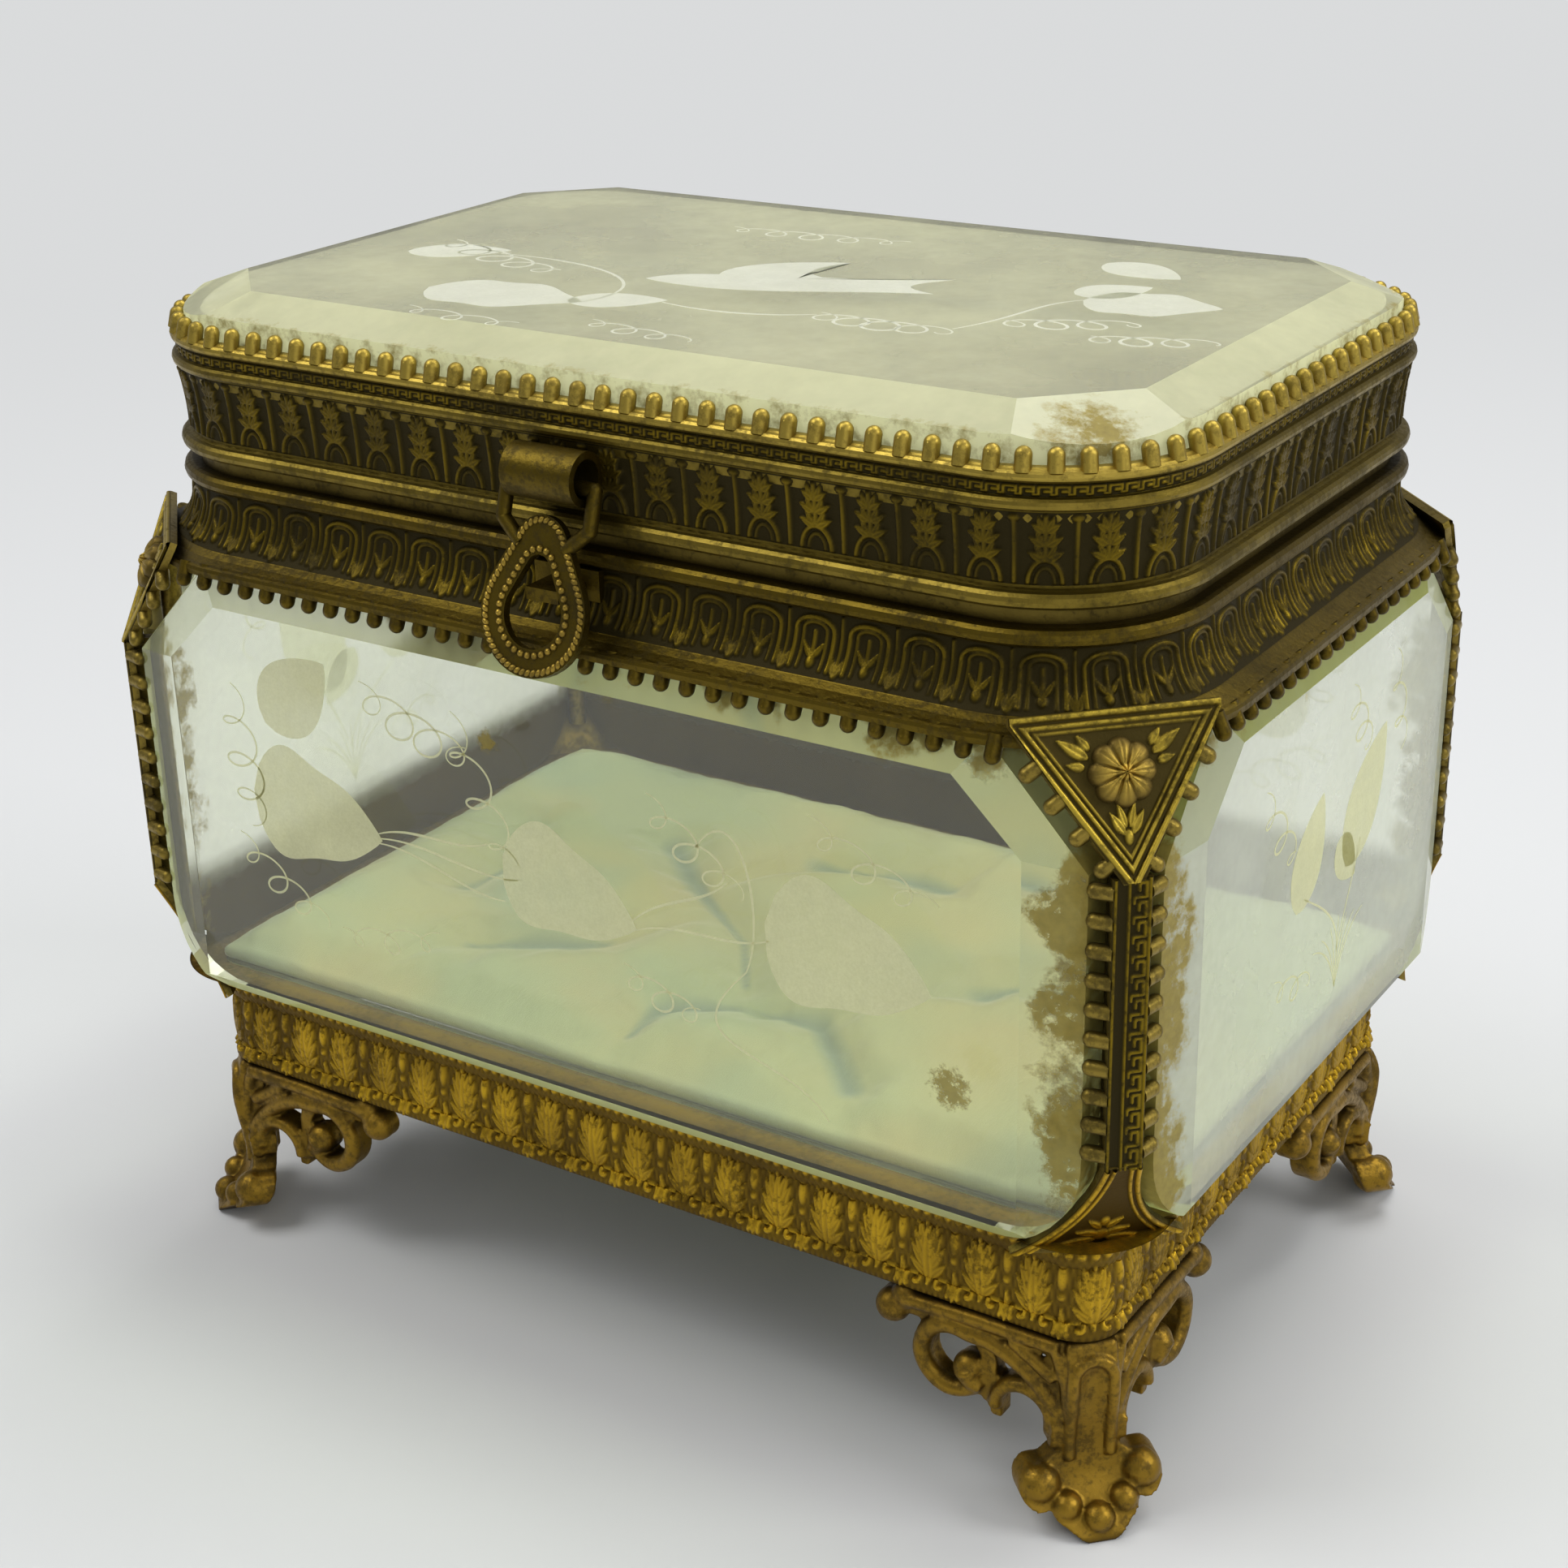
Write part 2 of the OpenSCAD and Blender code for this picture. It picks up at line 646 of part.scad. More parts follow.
// Slanting ends of the bail, from its elbows into the shoulders of the hasp
module bail_ends() {
    for (side = [-1, 1])
        rod([side * bail_x, 0, -bail_leg], [side * bail_end_x, 0, -bail_end_low], bail_r);
}

// Wire bail through the tube, bent down to the shoulders of the hasp
module hasp_bail() {
    color(gilt) hanging() {
        rotate([0, 90, 0]) cylinder(r = bail_r, h = 2 * bail_x, center = true);
        for (side = [-1, 1]) {
            translate([side * bail_x, 0, 0]) sphere(bail_r);
            translate([side * bail_x, 0, -bail_leg]) cylinder(r = bail_r, h = bail_leg);
            translate([side * bail_x, 0, -bail_leg]) sphere(bail_r);
        }
        bail_ends();
    }
}

// Pear shape of the hasp or of its eye: two rounds and their outer tangents, in one outline
module pear(top, top_r, low, low_r) {
    lean = asin((low_r - top_r) / (top - low));
    polygon(concat(arc([0, low], low_r, -180 - lean, lean, 24),
                   arc([0, top], top_r, lean, 180 - lean, 12)));
}

module hasp() {
    low = hasp_r - hasp_l;
    top = -6.7;
    strap = 3;
    color(gilt) hanging() difference() {
        translate([0, hasp_t / 2, 0]) rotate([90, 0, 0]) linear_extrude(hasp_t) difference() {
            pear(top, 3.4, low, hasp_r);
            pear(top - 2.2, 1.5, low, hasp_r - strap);
        }
        bail_ends();
        for (side = [-1, 1]) translate([side * bail_x, 0, -bail_leg]) sphere(bail_r);
    }
}

// Plate and nib on the collar that the eye of the hasp drops over
module catch() {
    plate_hw = 4.2;
    nib_hw = 2.1;
    face = 0.9;
    color(gilt) centred() difference() {
        union() {
            translate([-plate_hw, -frame_hd - 0.4, catch_z - 1.4]) cube([2 * plate_hw, 1.6, 3.4]);
            translate([-nib_hw, -frame_hd - catch_reach, catch_z - 0.7])
                cube([2 * nib_hw, catch_reach, 1.4]);
        }
        ring(frame_hw, frame_hd, frame_r) collar_profile();
        translate([-plate_hw - 1, -frame_hd + face, catch_z - 3]) cube([2 * plate_hw + 2, 3, 6]);
    }
}

// ---- Hinges ----

module knuckle(x, length, bore) {
    translate([x - length / 2, hinge_y, hinge_z]) rotate([0, 90, 0]) difference() {
        cylinder(r = knuckle_r, h = length);
        translate([0, 0, -1]) cylinder(r = bore, h = length + 2);
    }
}

// A leaf lies on its seat and runs up or down to its knuckles
module leaf(x, width, dir, length) {
    near = 0.2;
    translate([x - width / 2, frame_hd + seat_out, dir > 0 ? hinge_z + near : hinge_z - near - length])
        cube([width, sheet, length]);
}

module bore_cut(bore) {
    translate([0, hinge_y, hinge_z]) rotate([0, 90, 0])
        cylinder(r = bore, h = 2 * (hinge_x + hinge_l), center = true);
}

// The body's leaf carries the two outer knuckles and grips the pin
module hinge_leaf(x) {
    step = knuckle_l + moving_gap;
    color(gilt) centred() {
        difference() {
            union() {
                leaf(x, hinge_l, -1, leaf_h);
                for (side = [-1, 1]) knuckle(x + side * step, knuckle_l, pin_r);
            }
            bore_cut(pin_r);
            translate([x - knuckle_l / 2 - moving_gap, hinge_y, hinge_z]) rotate([0, 90, 0])
                cylinder(r = knuckle_r + moving_gap, h = knuckle_l + 2 * moving_gap);
        }
    }
}

// The lid's leaf carries the middle knuckle, which turns on the pin
module lid_leaf(x) {
    bore = pin_r + pin_clearance;
    color(gilt) centred() difference() {
        union() {
            leaf(x, hinge_l, 1, leaf_h);
            knuckle(x, knuckle_l, bore);
        }
        bore_cut(bore);
        for (side = [-1, 1])
            translate([x + side * (knuckle_l + moving_gap) - knuckle_l / 2 - moving_gap, hinge_y, hinge_z])
                rotate([0, 90, 0]) cylinder(r = knuckle_r + moving_gap, h = knuckle_l + 2 * moving_gap);
    }
}

module hinge_pin(x) {
    color(gilt) centred() translate([x - hinge_l / 2, hinge_y, hinge_z]) rotate([0, 90, 0])
        cylinder(r = pin_r, h = hinge_l);
}

module hinge_leaf_left() { hinge_leaf(-hinge_x); }
module hinge_leaf_right() { hinge_leaf(hinge_x); }
module lid_leaf_left() { lid_leaf(-hinge_x); }
module lid_leaf_right() { lid_leaf(hinge_x); }
module pin_left() { hinge_pin(-hinge_x); }
module pin_right() { hinge_pin(hinge_x); }

base_band();
bottom_glass();
silk_pad();
front_glass();
back_glass();
left_glass();
right_glass();
post_front_left();
post_front_right();
post_back_left();
post_back_right();
rosette_front_left();
rosette_front_right();
rosette_back_left();
rosette_back_right();
foot_front_left();
foot_front_right();
foot_back_left();
foot_back_right();
collar();
collar_liner();
catch();
hinge_leaf_left();
hinge_leaf_right();
pin_left();
pin_right();
lid_frame();
lid_ledge();
lid_glass();
lid_leaf_left();
lid_leaf_right();
clasp_tube();
hasp_bail();
hasp();
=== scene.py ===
"""Bevelled glass casket: stamped gilt mounts, engraved glass and a silk pad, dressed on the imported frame."""

import functools
import math

import bpy
import numpy as np
from mathutils import Matrix, Vector


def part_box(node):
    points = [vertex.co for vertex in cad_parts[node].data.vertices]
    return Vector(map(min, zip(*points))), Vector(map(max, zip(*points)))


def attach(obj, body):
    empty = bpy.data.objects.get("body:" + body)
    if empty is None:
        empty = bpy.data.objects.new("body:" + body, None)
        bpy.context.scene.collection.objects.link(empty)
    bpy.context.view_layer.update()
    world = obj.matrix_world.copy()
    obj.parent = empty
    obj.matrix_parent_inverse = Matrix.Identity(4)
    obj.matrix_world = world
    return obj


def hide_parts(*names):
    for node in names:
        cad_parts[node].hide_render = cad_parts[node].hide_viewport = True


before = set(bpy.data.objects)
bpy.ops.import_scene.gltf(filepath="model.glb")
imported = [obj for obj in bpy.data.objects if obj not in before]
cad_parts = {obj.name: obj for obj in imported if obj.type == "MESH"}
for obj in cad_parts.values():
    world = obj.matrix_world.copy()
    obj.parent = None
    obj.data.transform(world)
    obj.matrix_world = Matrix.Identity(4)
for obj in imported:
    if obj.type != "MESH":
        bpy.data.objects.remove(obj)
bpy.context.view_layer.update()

MM = 0.001
SCENE = bpy.context.scene


def add_object(name, data):
    obj = bpy.data.objects.new(name, data)
    SCENE.collection.objects.link(obj)
    return obj


# ---- Sizes in millimetres: the mounts' own, and those of the frame's nodes ----


def box_mm(node):
    low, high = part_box(node)
    return [v / MM for v in low], [v / MM for v in high]


FRAME_STEP = 4.5  # how far the lid frame and the collar stand inside the walls
BASE_STEP = 7.2  # and how far the base band does
FRAME_R = 17.3  # radius of the corners
BASE_R = 4.5
POST_W = 4.0
POST_INSET = 4.1
POST_H = 32
UPPER_LEAN = 25  # spandrel plates, in degrees
UPPER_W = 10.5
UPPER_H = 16.2
UPPER_REACH = 2.2  # over the foot of the collar
LOWER_LEAN = 28.7  # toe plates, in degrees
LOWER_W = 9.4
LOWER_H = 15.6
HASP_LEAN = 17
BAIL_OUT = 2.05
BAIL_UP = 5.6
LID_SIDE_H = 13.9
LIFT = 0.03  # of a stamped skin over its solid
CUT_LIFT = 0.04  # of the engraving over its pane

front_low, front_high = box_mm("front_glass")
back_high = box_mm("back_glass")[1]
CENTRE_Y = (front_low[1] + back_high[1]) / 2
BODY_HW = box_mm("right_glass")[1][0]
BODY_HD = (back_high[1] - front_low[1]) / 2
FRAME_HW = BODY_HW - FRAME_STEP
FRAME_HD = BODY_HD - FRAME_STEP
BASE_HW = BODY_HW - BASE_STEP
BASE_HD = BODY_HD - BASE_STEP
WALL_Z = front_low[2]
COLLAR_Z = front_high[2]
FOOT_Z = box_mm("base_band")[0][2]
LID_Z = box_mm("lid_frame")[0][2]
LID_TOP = box_mm("lid_glass")[1][2]
POST_TOP = COLLAR_Z + UPPER_REACH - UPPER_H * math.cos(math.radians(UPPER_LEAN))
POST_LOW = POST_TOP - POST_H

# ---- Camera, fitted to the corners, edges and feet in the photograph ----

IMAGE = 1932  # its side in pixels; FOCAL and SHIFT are in pixels too
FOCAL = 3196.19
SHIFT = (-14.3, 6.0)
SENSOR = 36
YAW, PITCH, ROLL = 33.116, 23.473, -1.248
CAMERA_PLACE = (160.66, -245.97 + CENTRE_Y, 185.79)


def make_camera():
    """The photograph's viewpoint: right of the front, looking down, with a slight roll."""
    yaw, pitch, roll = (math.radians(a) for a in (YAW, PITCH, ROLL))
    ahead = Vector((-math.sin(yaw) * math.cos(pitch), math.cos(yaw) * math.cos(pitch), -math.sin(pitch)))
    right = Vector((math.cos(yaw), math.sin(yaw), 0))
    up = right.cross(ahead)
    side = math.cos(roll) * right + math.sin(roll) * up
    top = math.cos(roll) * up - math.sin(roll) * right
    data = bpy.data.cameras.new("camera")
    data.sensor_width = SENSOR
    data.lens = FOCAL / IMAGE * SENSOR
    data.shift_x, data.shift_y = (v / IMAGE for v in SHIFT)
    data.clip_start, data.clip_end = 0.01, 20
    camera = add_object("camera", data)
    turn = Matrix((side, top, -ahead)).transposed().to_4x4()
    camera.matrix_world = Matrix.Translation(Vector(CAMERA_PLACE) * MM) @ turn
    SCENE.camera = camera


# ---- Mesh helpers ----


def new_mesh(name, verts, faces, material, relief=None):
    """A mesh object from points in millimetres, with an optional relief height for each point."""
    mesh = bpy.data.meshes.new(name)
    mesh.from_pydata((np.asarray(verts, float) * MM).tolist(), [], [list(f) for f in faces])
    if relief is not None:
        layer = mesh.attributes.new("relief", "FLOAT", "POINT")
        layer.data.foreach_set("value", np.asarray(relief, np.float32))
    mesh.polygons.foreach_set("use_smooth", [True] * len(mesh.polygons))
    mesh.materials.append(material)
    return add_object(name, mesh)


def grid_faces(rows, cols, closed=False):
    """Quads of a grid of points stored row by row; closed joins the last column to the first."""
    r = np.arange(rows - 1)[:, None]
    c = np.arange(cols if closed else cols - 1)[None, :]
    n = (c + 1) % cols
    quads = np.stack([r * cols + c, r * cols + n, (r + 1) * cols + n, (r + 1) * cols + c], -1)
    return quads.reshape(-1, 4)


def ride_with(obj, body):
    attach(obj, body)
    return obj


def bezier(points, steps=22):
    p = np.asarray(points, float)
    t = np.linspace(0, 1, steps)[:, None]
    u = 1 - t
    return u**3 * p[0] + 3 * u * u * t * p[1] + 3 * u * t * t * p[2] + t**3 * p[3]


# ---- Relief patterns: heights from 0 to 1 over one repeat, U across and V up, in millimetres ----


def distance(U, V, points):
    """Distance from each place to a line through points."""
    best = np.full(U.shape, 1e9)
    for (ax, ay), (bx, by) in zip(points[:-1], points[1:]):
        dx, dy = bx - ax, by - ay
        t = np.clip(((U - ax) * dx + (V - ay) * dy) / max(dx * dx + dy * dy, 1e-9), 0, 1)
        best = np.minimum(best, np.hypot(U - ax - t * dx, V - ay - t * dy))
    return best


def highest(*heights):
    return functools.reduce(np.maximum, heights)


def rounded(a, b=0.0):
    """A round top: 1 in the middle, 0 where the offsets a and b reach 1."""
    return np.sqrt(np.clip(1 - a**2 - b**2, 0, 1))


def ridge(U, V, points, width, height=1.0):
    """A round wire laid along points."""
    return height * rounded(distance(U, V, points) / width)


def dome(U, V, u, v, ru, rv, height=1.0):
    return height * rounded((U - u) / ru, (V - v) / rv)


def leaflet(U, V, root, tip, width, height=1.0):
    """A pointed leaf with a groove down its middle."""
    (ax, ay), (bx, by) = root, tip
    length = math.hypot(bx - ax, by - ay)
    dx, dy = (bx - ax) / length, (by - ay) / length
    t = ((U - ax) * dx + (V - ay) * dy) / length
    across = np.abs(-(U - ax) * dy + (V - ay) * dx)
    half = width * np.sin(np.pi * np.clip(t, 0, 1) ** 0.7) + 1e-6
    body = rounded(across / half) * ((t > 0) & (t < 1))
    return height * body * (0.62 + 0.38 * np.clip(across / half / 0.45, 0, 1))


def paired(part, U, V, pitch, *form):
    """The same part on both sides of the middle of the repeat."""
    return np.maximum(part(U, V, *form), part(pitch - U, V, *form))


def lines_at(place, rows):
    """Round lines; each row gives where its middle is, its half width and its height."""
    return highest(*(height * rounded((place - middle) / width) for middle, width, height in rows))


def arch(mid, foot, reach, rise, steps):
    return [(mid + reach * math.cos(a), foot + rise * math.sin(a)) for a in np.linspace(0, math.pi, steps)]


def acanthus(U, V, pitch, tall):
    """Upright leaf in three tiers over a small arch, between thin ribs."""
    mid = pitch / 2
    parts = [ridge(U, V, [(mid, tall * 0.38), (mid, tall * 0.97)], 0.32, 0.75),
             ridge(U, V, arch(mid, tall * 0.02, 1.75, tall * 0.33, 15), 0.3, 0.8),
             ridge(U, V, arch(mid, tall * 0.02, 1.0, tall * 0.22, 11), 0.24, 0.5),
             0.75 * rounded(np.minimum(U, pitch - U) / 0.3) * (V < tall * 0.9)]
    for low, span in [(0.34, 1.9), (0.54, 1.75), (0.73, 1.45)]:
        z = tall * low
        parts += [paired(leaflet, U, V, pitch, (mid + 0.15, z), (mid + span, z + tall * 0.13), 0.5),
                  paired(leaflet, U, V, pitch, (mid + 0.2, z + 0.1), (mid + span * 0.62, z + tall * 0.25), 0.42, 0.9)]
    return highest(*parts, *(dome(U, V, side, tall * 0.93, 0.7, 0.5, 0.8) for side in (0, pitch)))


def arcade(U, V, pitch, tall):
    """Round-headed arch with a hanging drop in it and a plain rib on each side."""
    mid = pitch / 2
    parts = [ridge(U, V, [(mid, tall * 0.3), (mid, tall * 0.7)], 0.28, 0.8),
             dome(U, V, mid, tall * 0.24, 0.55, 0.8),
             paired(leaflet, U, V, pitch, (mid + 0.2, tall * 0.3), (mid + 1.2, tall * 0.56), 0.36),
             paired(leaflet, U, V, pitch, (0, tall * 0.02), (0.75, tall * 0.4), 0.4, 0.8),
             0.7 * rounded(np.minimum(U, pitch - U) / 0.24)]
    for reach, width, height in [(2.2, 0.3, 0.9), (1.35, 0.24, 0.65)]:
        head = arch(mid, tall * 0.72, reach, reach * 0.6, 13)
        parts.append(ridge(U, V, [(mid + reach, tall * 0.12), *head, (mid - reach, tall * 0.12)], width, height))
    return highest(*parts)


def palmette(U, V, pitch, tall):
    """Close-set fans of leaves over pairs of volutes, with drops between them and no plain ground."""
    mid = pitch / 2
    volute = [(mid + 1.55 + (1.15 - 0.19 * t) * math.cos(t), tall * 0.13 + (1.15 - 0.19 * t) * math.sin(t))
              for t in np.linspace(-0.6, 5.0, 26)]
    beads = np.mod(U, pitch / 5) - pitch / 10
    parts = [0.22 + 0.12 * np.cos(U * 2 * math.pi / pitch * 9) * np.cos(V * 1.7),
             leaflet(U, V, (mid, tall * 0.1), (mid, tall * 0.86), 0.85),
             paired(ridge, U, V, pitch, volute, 0.32, 0.95),
             rounded(beads / 0.5, (V - tall * 0.93) / 0.6)]
    for low, high, span in [(0.2, 0.4, 2.3), (0.3, 0.56, 2.1), (0.4, 0.7, 1.75), (0.5, 0.82, 1.2)]:
        parts.append(paired(leaflet, U, V, pitch, (mid + 0.3, tall * low), (mid + span, tall * high), 0.62, 0.9))
    for side in (0, pitch):
        parts += [dome(U, V, side, tall * 0.66, 0.62, tall * 0.15, 0.95),
                  dome(U, V, side, tall * 0.46, 0.5, 0.6, 0.8),
                  leaflet(U, V, (side, tall * 0.02), (side, tall * 0.38), 0.5, 0.9)]
    return highest(*parts)


def greek_key(U, V, pitch, tall):
    """Square meander in a raised line."""
    left, middle, right = pitch * 0.14, pitch * 0.48, pitch * 0.86
    low, inner, high = tall * 0.16, tall * 0.5 * 0.9, tall * 0.84
    line = [(0, low), (left, low), (left, high), (right, high), (right, inner), (middle, inner)]
    return highest(ridge(U, V, line, 0.2), ridge(U, V, [(right, low), (pitch, low)], 0.2))


def petals(U, V, pitch, tall):
    """Hollow flutes that fan out under the edge of the glass."""
    mid = pitch / 2
    x = np.abs(U - mid) / mid
    groove = 0.45 + 0.55 * np.clip(np.abs(x - 0.5) / 0.22, 0, 1)
    return rounded(x) * groove * np.clip(1.15 - V / tall * 0.35, 0, 1)


# ---- Stamped bands that run round the box ----


def ring_track(count, hw, hd, r):
    """Points and outward directions, evenly spaced round a rounded rectangle."""
    x, y, q = hw - r, hd - r, math.pi * r / 2
    length = 2 * (2 * x + 2 * y) + 4 * q
    s = (np.arange(count) + 0.5) / count * length
    points = np.zeros((count, 2))
    normals = np.zeros((count, 2))
    start = 0.0
    for k, (run, origin, along, centre) in enumerate([
            (2 * x, (-x, -hd), (1, 0), (x, -y)), (2 * y, (hw, -y), (0, 1), (x, y)),
            (2 * x, (x, hd), (-1, 0), (-x, y)), (2 * y, (-hw, y), (0, -1), (-x, -y))]):
        on = (s >= start) & (s < start + run)
        points[on] = np.array(origin) + (s[on] - start)[:, None] * np.array(along)
        normals[on] = (along[1], -along[0])
        start += run
        on = (s >= start) & (s < start + q)
        turn = (s[on] - start) / q * math.pi / 2 + math.pi / 2 * (k - 1)
        normals[on] = np.stack([np.cos(turn), np.sin(turn)], -1)
        points[on] = np.array(centre) + r * normals[on]
        start += q
    return points, normals, length


def relief_band(name, size, profile, pattern, pitch, depth, material, body, fine=0.14):
    """A stamped skin over a ring: profile is (out, z) points, pattern gives the heights of one repeat."""
    hw, hd, r = size
    length = ring_track(8, hw, hd, r)[2]
    repeats = int(round(length / pitch))
    pitch = length / repeats
    across = int(pitch / fine)
    path = np.asarray(profile, float)
    steps = np.hypot(*np.diff(path, axis=0).T)
    tall = steps.sum()
    rows = int(tall / fine)
    v = np.linspace(0, tall, rows)
    at = np.concatenate([[0], np.cumsum(steps)])
    out, z = np.interp(v, at, path[:, 0]), np.interp(v, at, path[:, 1])
    d_out, d_z = np.gradient(out, v), np.gradient(z, v)
    U, V = np.meshgrid((np.arange(across) + 0.5) / across * pitch, v)
    height = np.clip(pattern(U, V, pitch, tall), 0, 1)
    height *= np.clip(np.minimum(V, tall - V) / 0.25, 0, 1)
    height = np.tile(height, (1, repeats))
    run = np.arange(across * repeats)[None, :] * pitch / across
    wear = np.sin(run * 0.31 + 1.7 * np.sin(run * 0.043)) * np.sin(run * 0.117 + v[:, None] * 0.5)
    height *= 0.84 + 0.16 * wear
    points, normals, _ = ring_track(across * repeats, hw, hd, r)
    lift = LIFT + depth * height
    aside = (out[:, None] + lift * d_z[:, None])[..., None]
    verts = np.dstack([points + normals * aside + [0, CENTRE_Y], z[:, None] - lift * d_out[:, None]]).reshape(-1, 3)
    faces = grid_faces(rows, across * repeats, closed=True)
    return ride_with(new_mesh(name, verts, faces, material, height.reshape(-1)), body)


# ---- Stamped plates on the corner posts ----


def corner_place(sx, sy, z, lean, points):
    """Points (out, across, up) on a leaning plate of one corner, in the frame."""
    p = np.asarray(points, float)
    a = math.radians(lean)
    out = p[..., 0] * math.cos(a) - p[..., 2] * math.sin(a) - POST_INSET
    up = p[..., 0] * math.sin(a) + p[..., 2] * math.cos(a) + z
    turn = math.atan2(sy, sx)
    x = sx * BODY_HW + out * math.cos(turn) - p[..., 1] * math.sin(turn)
    y = sy * BODY_HD + CENTRE_Y + out * math.sin(turn) + p[..., 1] * math.cos(turn)
    return np.stack([x, y, up], -1)


def relief_plate(name, sx, sy, z, lean, half, low, high, pattern, depth, material, fine=0.13):
    """A stamped skin on a plate whose half width is a function of its height."""
    rows = int((high - low) / fine)
    v = np.linspace(low, high, rows)
    reach = half(v)[:, None]
    cols = int(np.max(2 * reach) / fine)
    U = 2 * reach * np.linspace(0, 1, cols)[None, :] - reach
    V = v[:, None] + 0 * U
    height = np.clip(pattern(U, V), 0, 1)
    points = np.stack([LIFT + depth * height, U, V], -1)
    verts = corner_place(sx, sy, z, lean, points).reshape(-1, 3)
    obj = new_mesh(name, verts, grid_faces(rows, cols), material, height.reshape(-1))
    return ride_with(obj, "body")


def upper_half(v):
    """Half width of the spandrel plate at a height."""
    return 1 + (UPPER_W - 1) * np.clip((v + 0.6) / (UPPER_H - 0.2), 0, 1) - 0.03


def upper_pattern(U, V):
    """Double border and leaf sprays round the rosette."""
    slope = UPPER_W / UPPER_H
    edge = (slope * V + 1 - np.abs(U)) * math.cos(math.atan(slope))
    edge = np.minimum(edge, UPPER_H - V)
    border = lines_at(edge, [(0.35, 0.34, 1.0), (1.25, 0.26, 0.85), (1.85, 0.2, 0.6)])
    leaves = [((3.2, 11.6), (6.2, 13.7), 0.7), ((3.6, 10.8), (5.4, 11.2), 0.5), ((3.0, 12.4), (4.2, 14.0), 0.5),
              ((0.4, 4.2), (1.7, 6.4), 0.55), ((0.2, 4.8), (0.9, 7.4), 0.45)]
    spray = highest(dome(U, V, 0, 3.9, 0.5, 0.8), *(paired(leaflet, U, V, 0, *leaf) for leaf in leaves))
    return np.maximum(border, spray * (edge > 2.1))


def lower_half(v):
    """Half width of the toe plate at a height."""
    side = bezier([(POST_W / 2, 0.4), (POST_W / 2 + 0.5, -LOWER_H * 0.5), (LOWER_W * 0.6, -LOWER_H * 0.8),
                   (LOWER_W, -LOWER_H + 0.9)], 40)
    return np.interp(-v, -side[:, 1], side[:, 0])


def lower_pattern(U, V):
    """Double border that follows the hollow sides, with a leaf spray at the foot."""
    edge = lower_half(V) - np.abs(U)
    edge = edge * (1 / np.sqrt(1 + np.gradient(lower_half(V[:, 0]), V[:, 0])[:, None] ** 2))
    border = lines_at(edge, [(0.32, 0.3, 1.0), (1.1, 0.24, 0.85)])
    leaves = [((0.3, -11.4), (1.9, -9.6), 0.5), ((0.4, -12.6), (3.0, -11.8), 0.6), ((0.5, -13.6), (4.6, -13.9), 0.6)]
    spray = highest(dome(U, V, 0, -10.2, 0.55, 0.9), dome(U, V, 0, -12.9, 1.0, 1.0),
                    *(paired(leaflet, U, V, 0, *leaf) for leaf in leaves))
    return np.maximum(border, spray * (edge > 1.4))


def strip_pattern(U, V):
    """Raised edges with a Greek key between them and a plain channel beside it."""
    pitch = 2.1
    key = greek_key(np.mod(V, pitch), U + 0.15, pitch, 1.75) * (U > -0.2) * (U < 1.6)
    return np.maximum(lines_at(U, [(-1.75, 0.22, 1), (-0.35, 0.18, 1), (1.75, 0.22, 1)]), key)


def rosette_mesh(name, sx, sy, material):
    """Eight spoon-shaped petals round a button."""
    count, rings, spokes = 8, 14, 128
    radius, rise, seat = 3.45, 1.25, 0.35
    r = np.linspace(0.02, 1, rings)[:, None]
    a = (np.arange(spokes) / spokes * 2 * math.pi)[None, :]
    lobe = np.abs(np.cos(a * count / 2))
    reach = radius * (0.84 + 0.16 * lobe**0.6)
    vein = 0.18 * np.exp(-(((lobe - 1) / 0.02) ** 2)) * np.sin(np.pi * r)
    bowl = np.sin(np.pi * (0.15 + 0.85 * r)) * (0.35 + 0.65 * lobe**0.5)
    height = seat + rise * (0.25 + 0.6 * bowl) - vein + 0.75 * rounded(r / 0.2)
    height[-1] = 0.02
    points = np.stack([height, r * reach * np.cos(a), r * reach * np.sin(a) + UPPER_H * 0.62], -1)
    verts = corner_place(sx, sy, POST_TOP, UPPER_LEAN, points).reshape(-1, 3)
    relief = np.clip((height - seat) / rise, 0, 1).reshape(-1)
    obj = new_mesh(name, verts, grid_faces(rings, spokes, closed=True), material, relief)
    return ride_with(obj, "body")


# ---- Materials ----


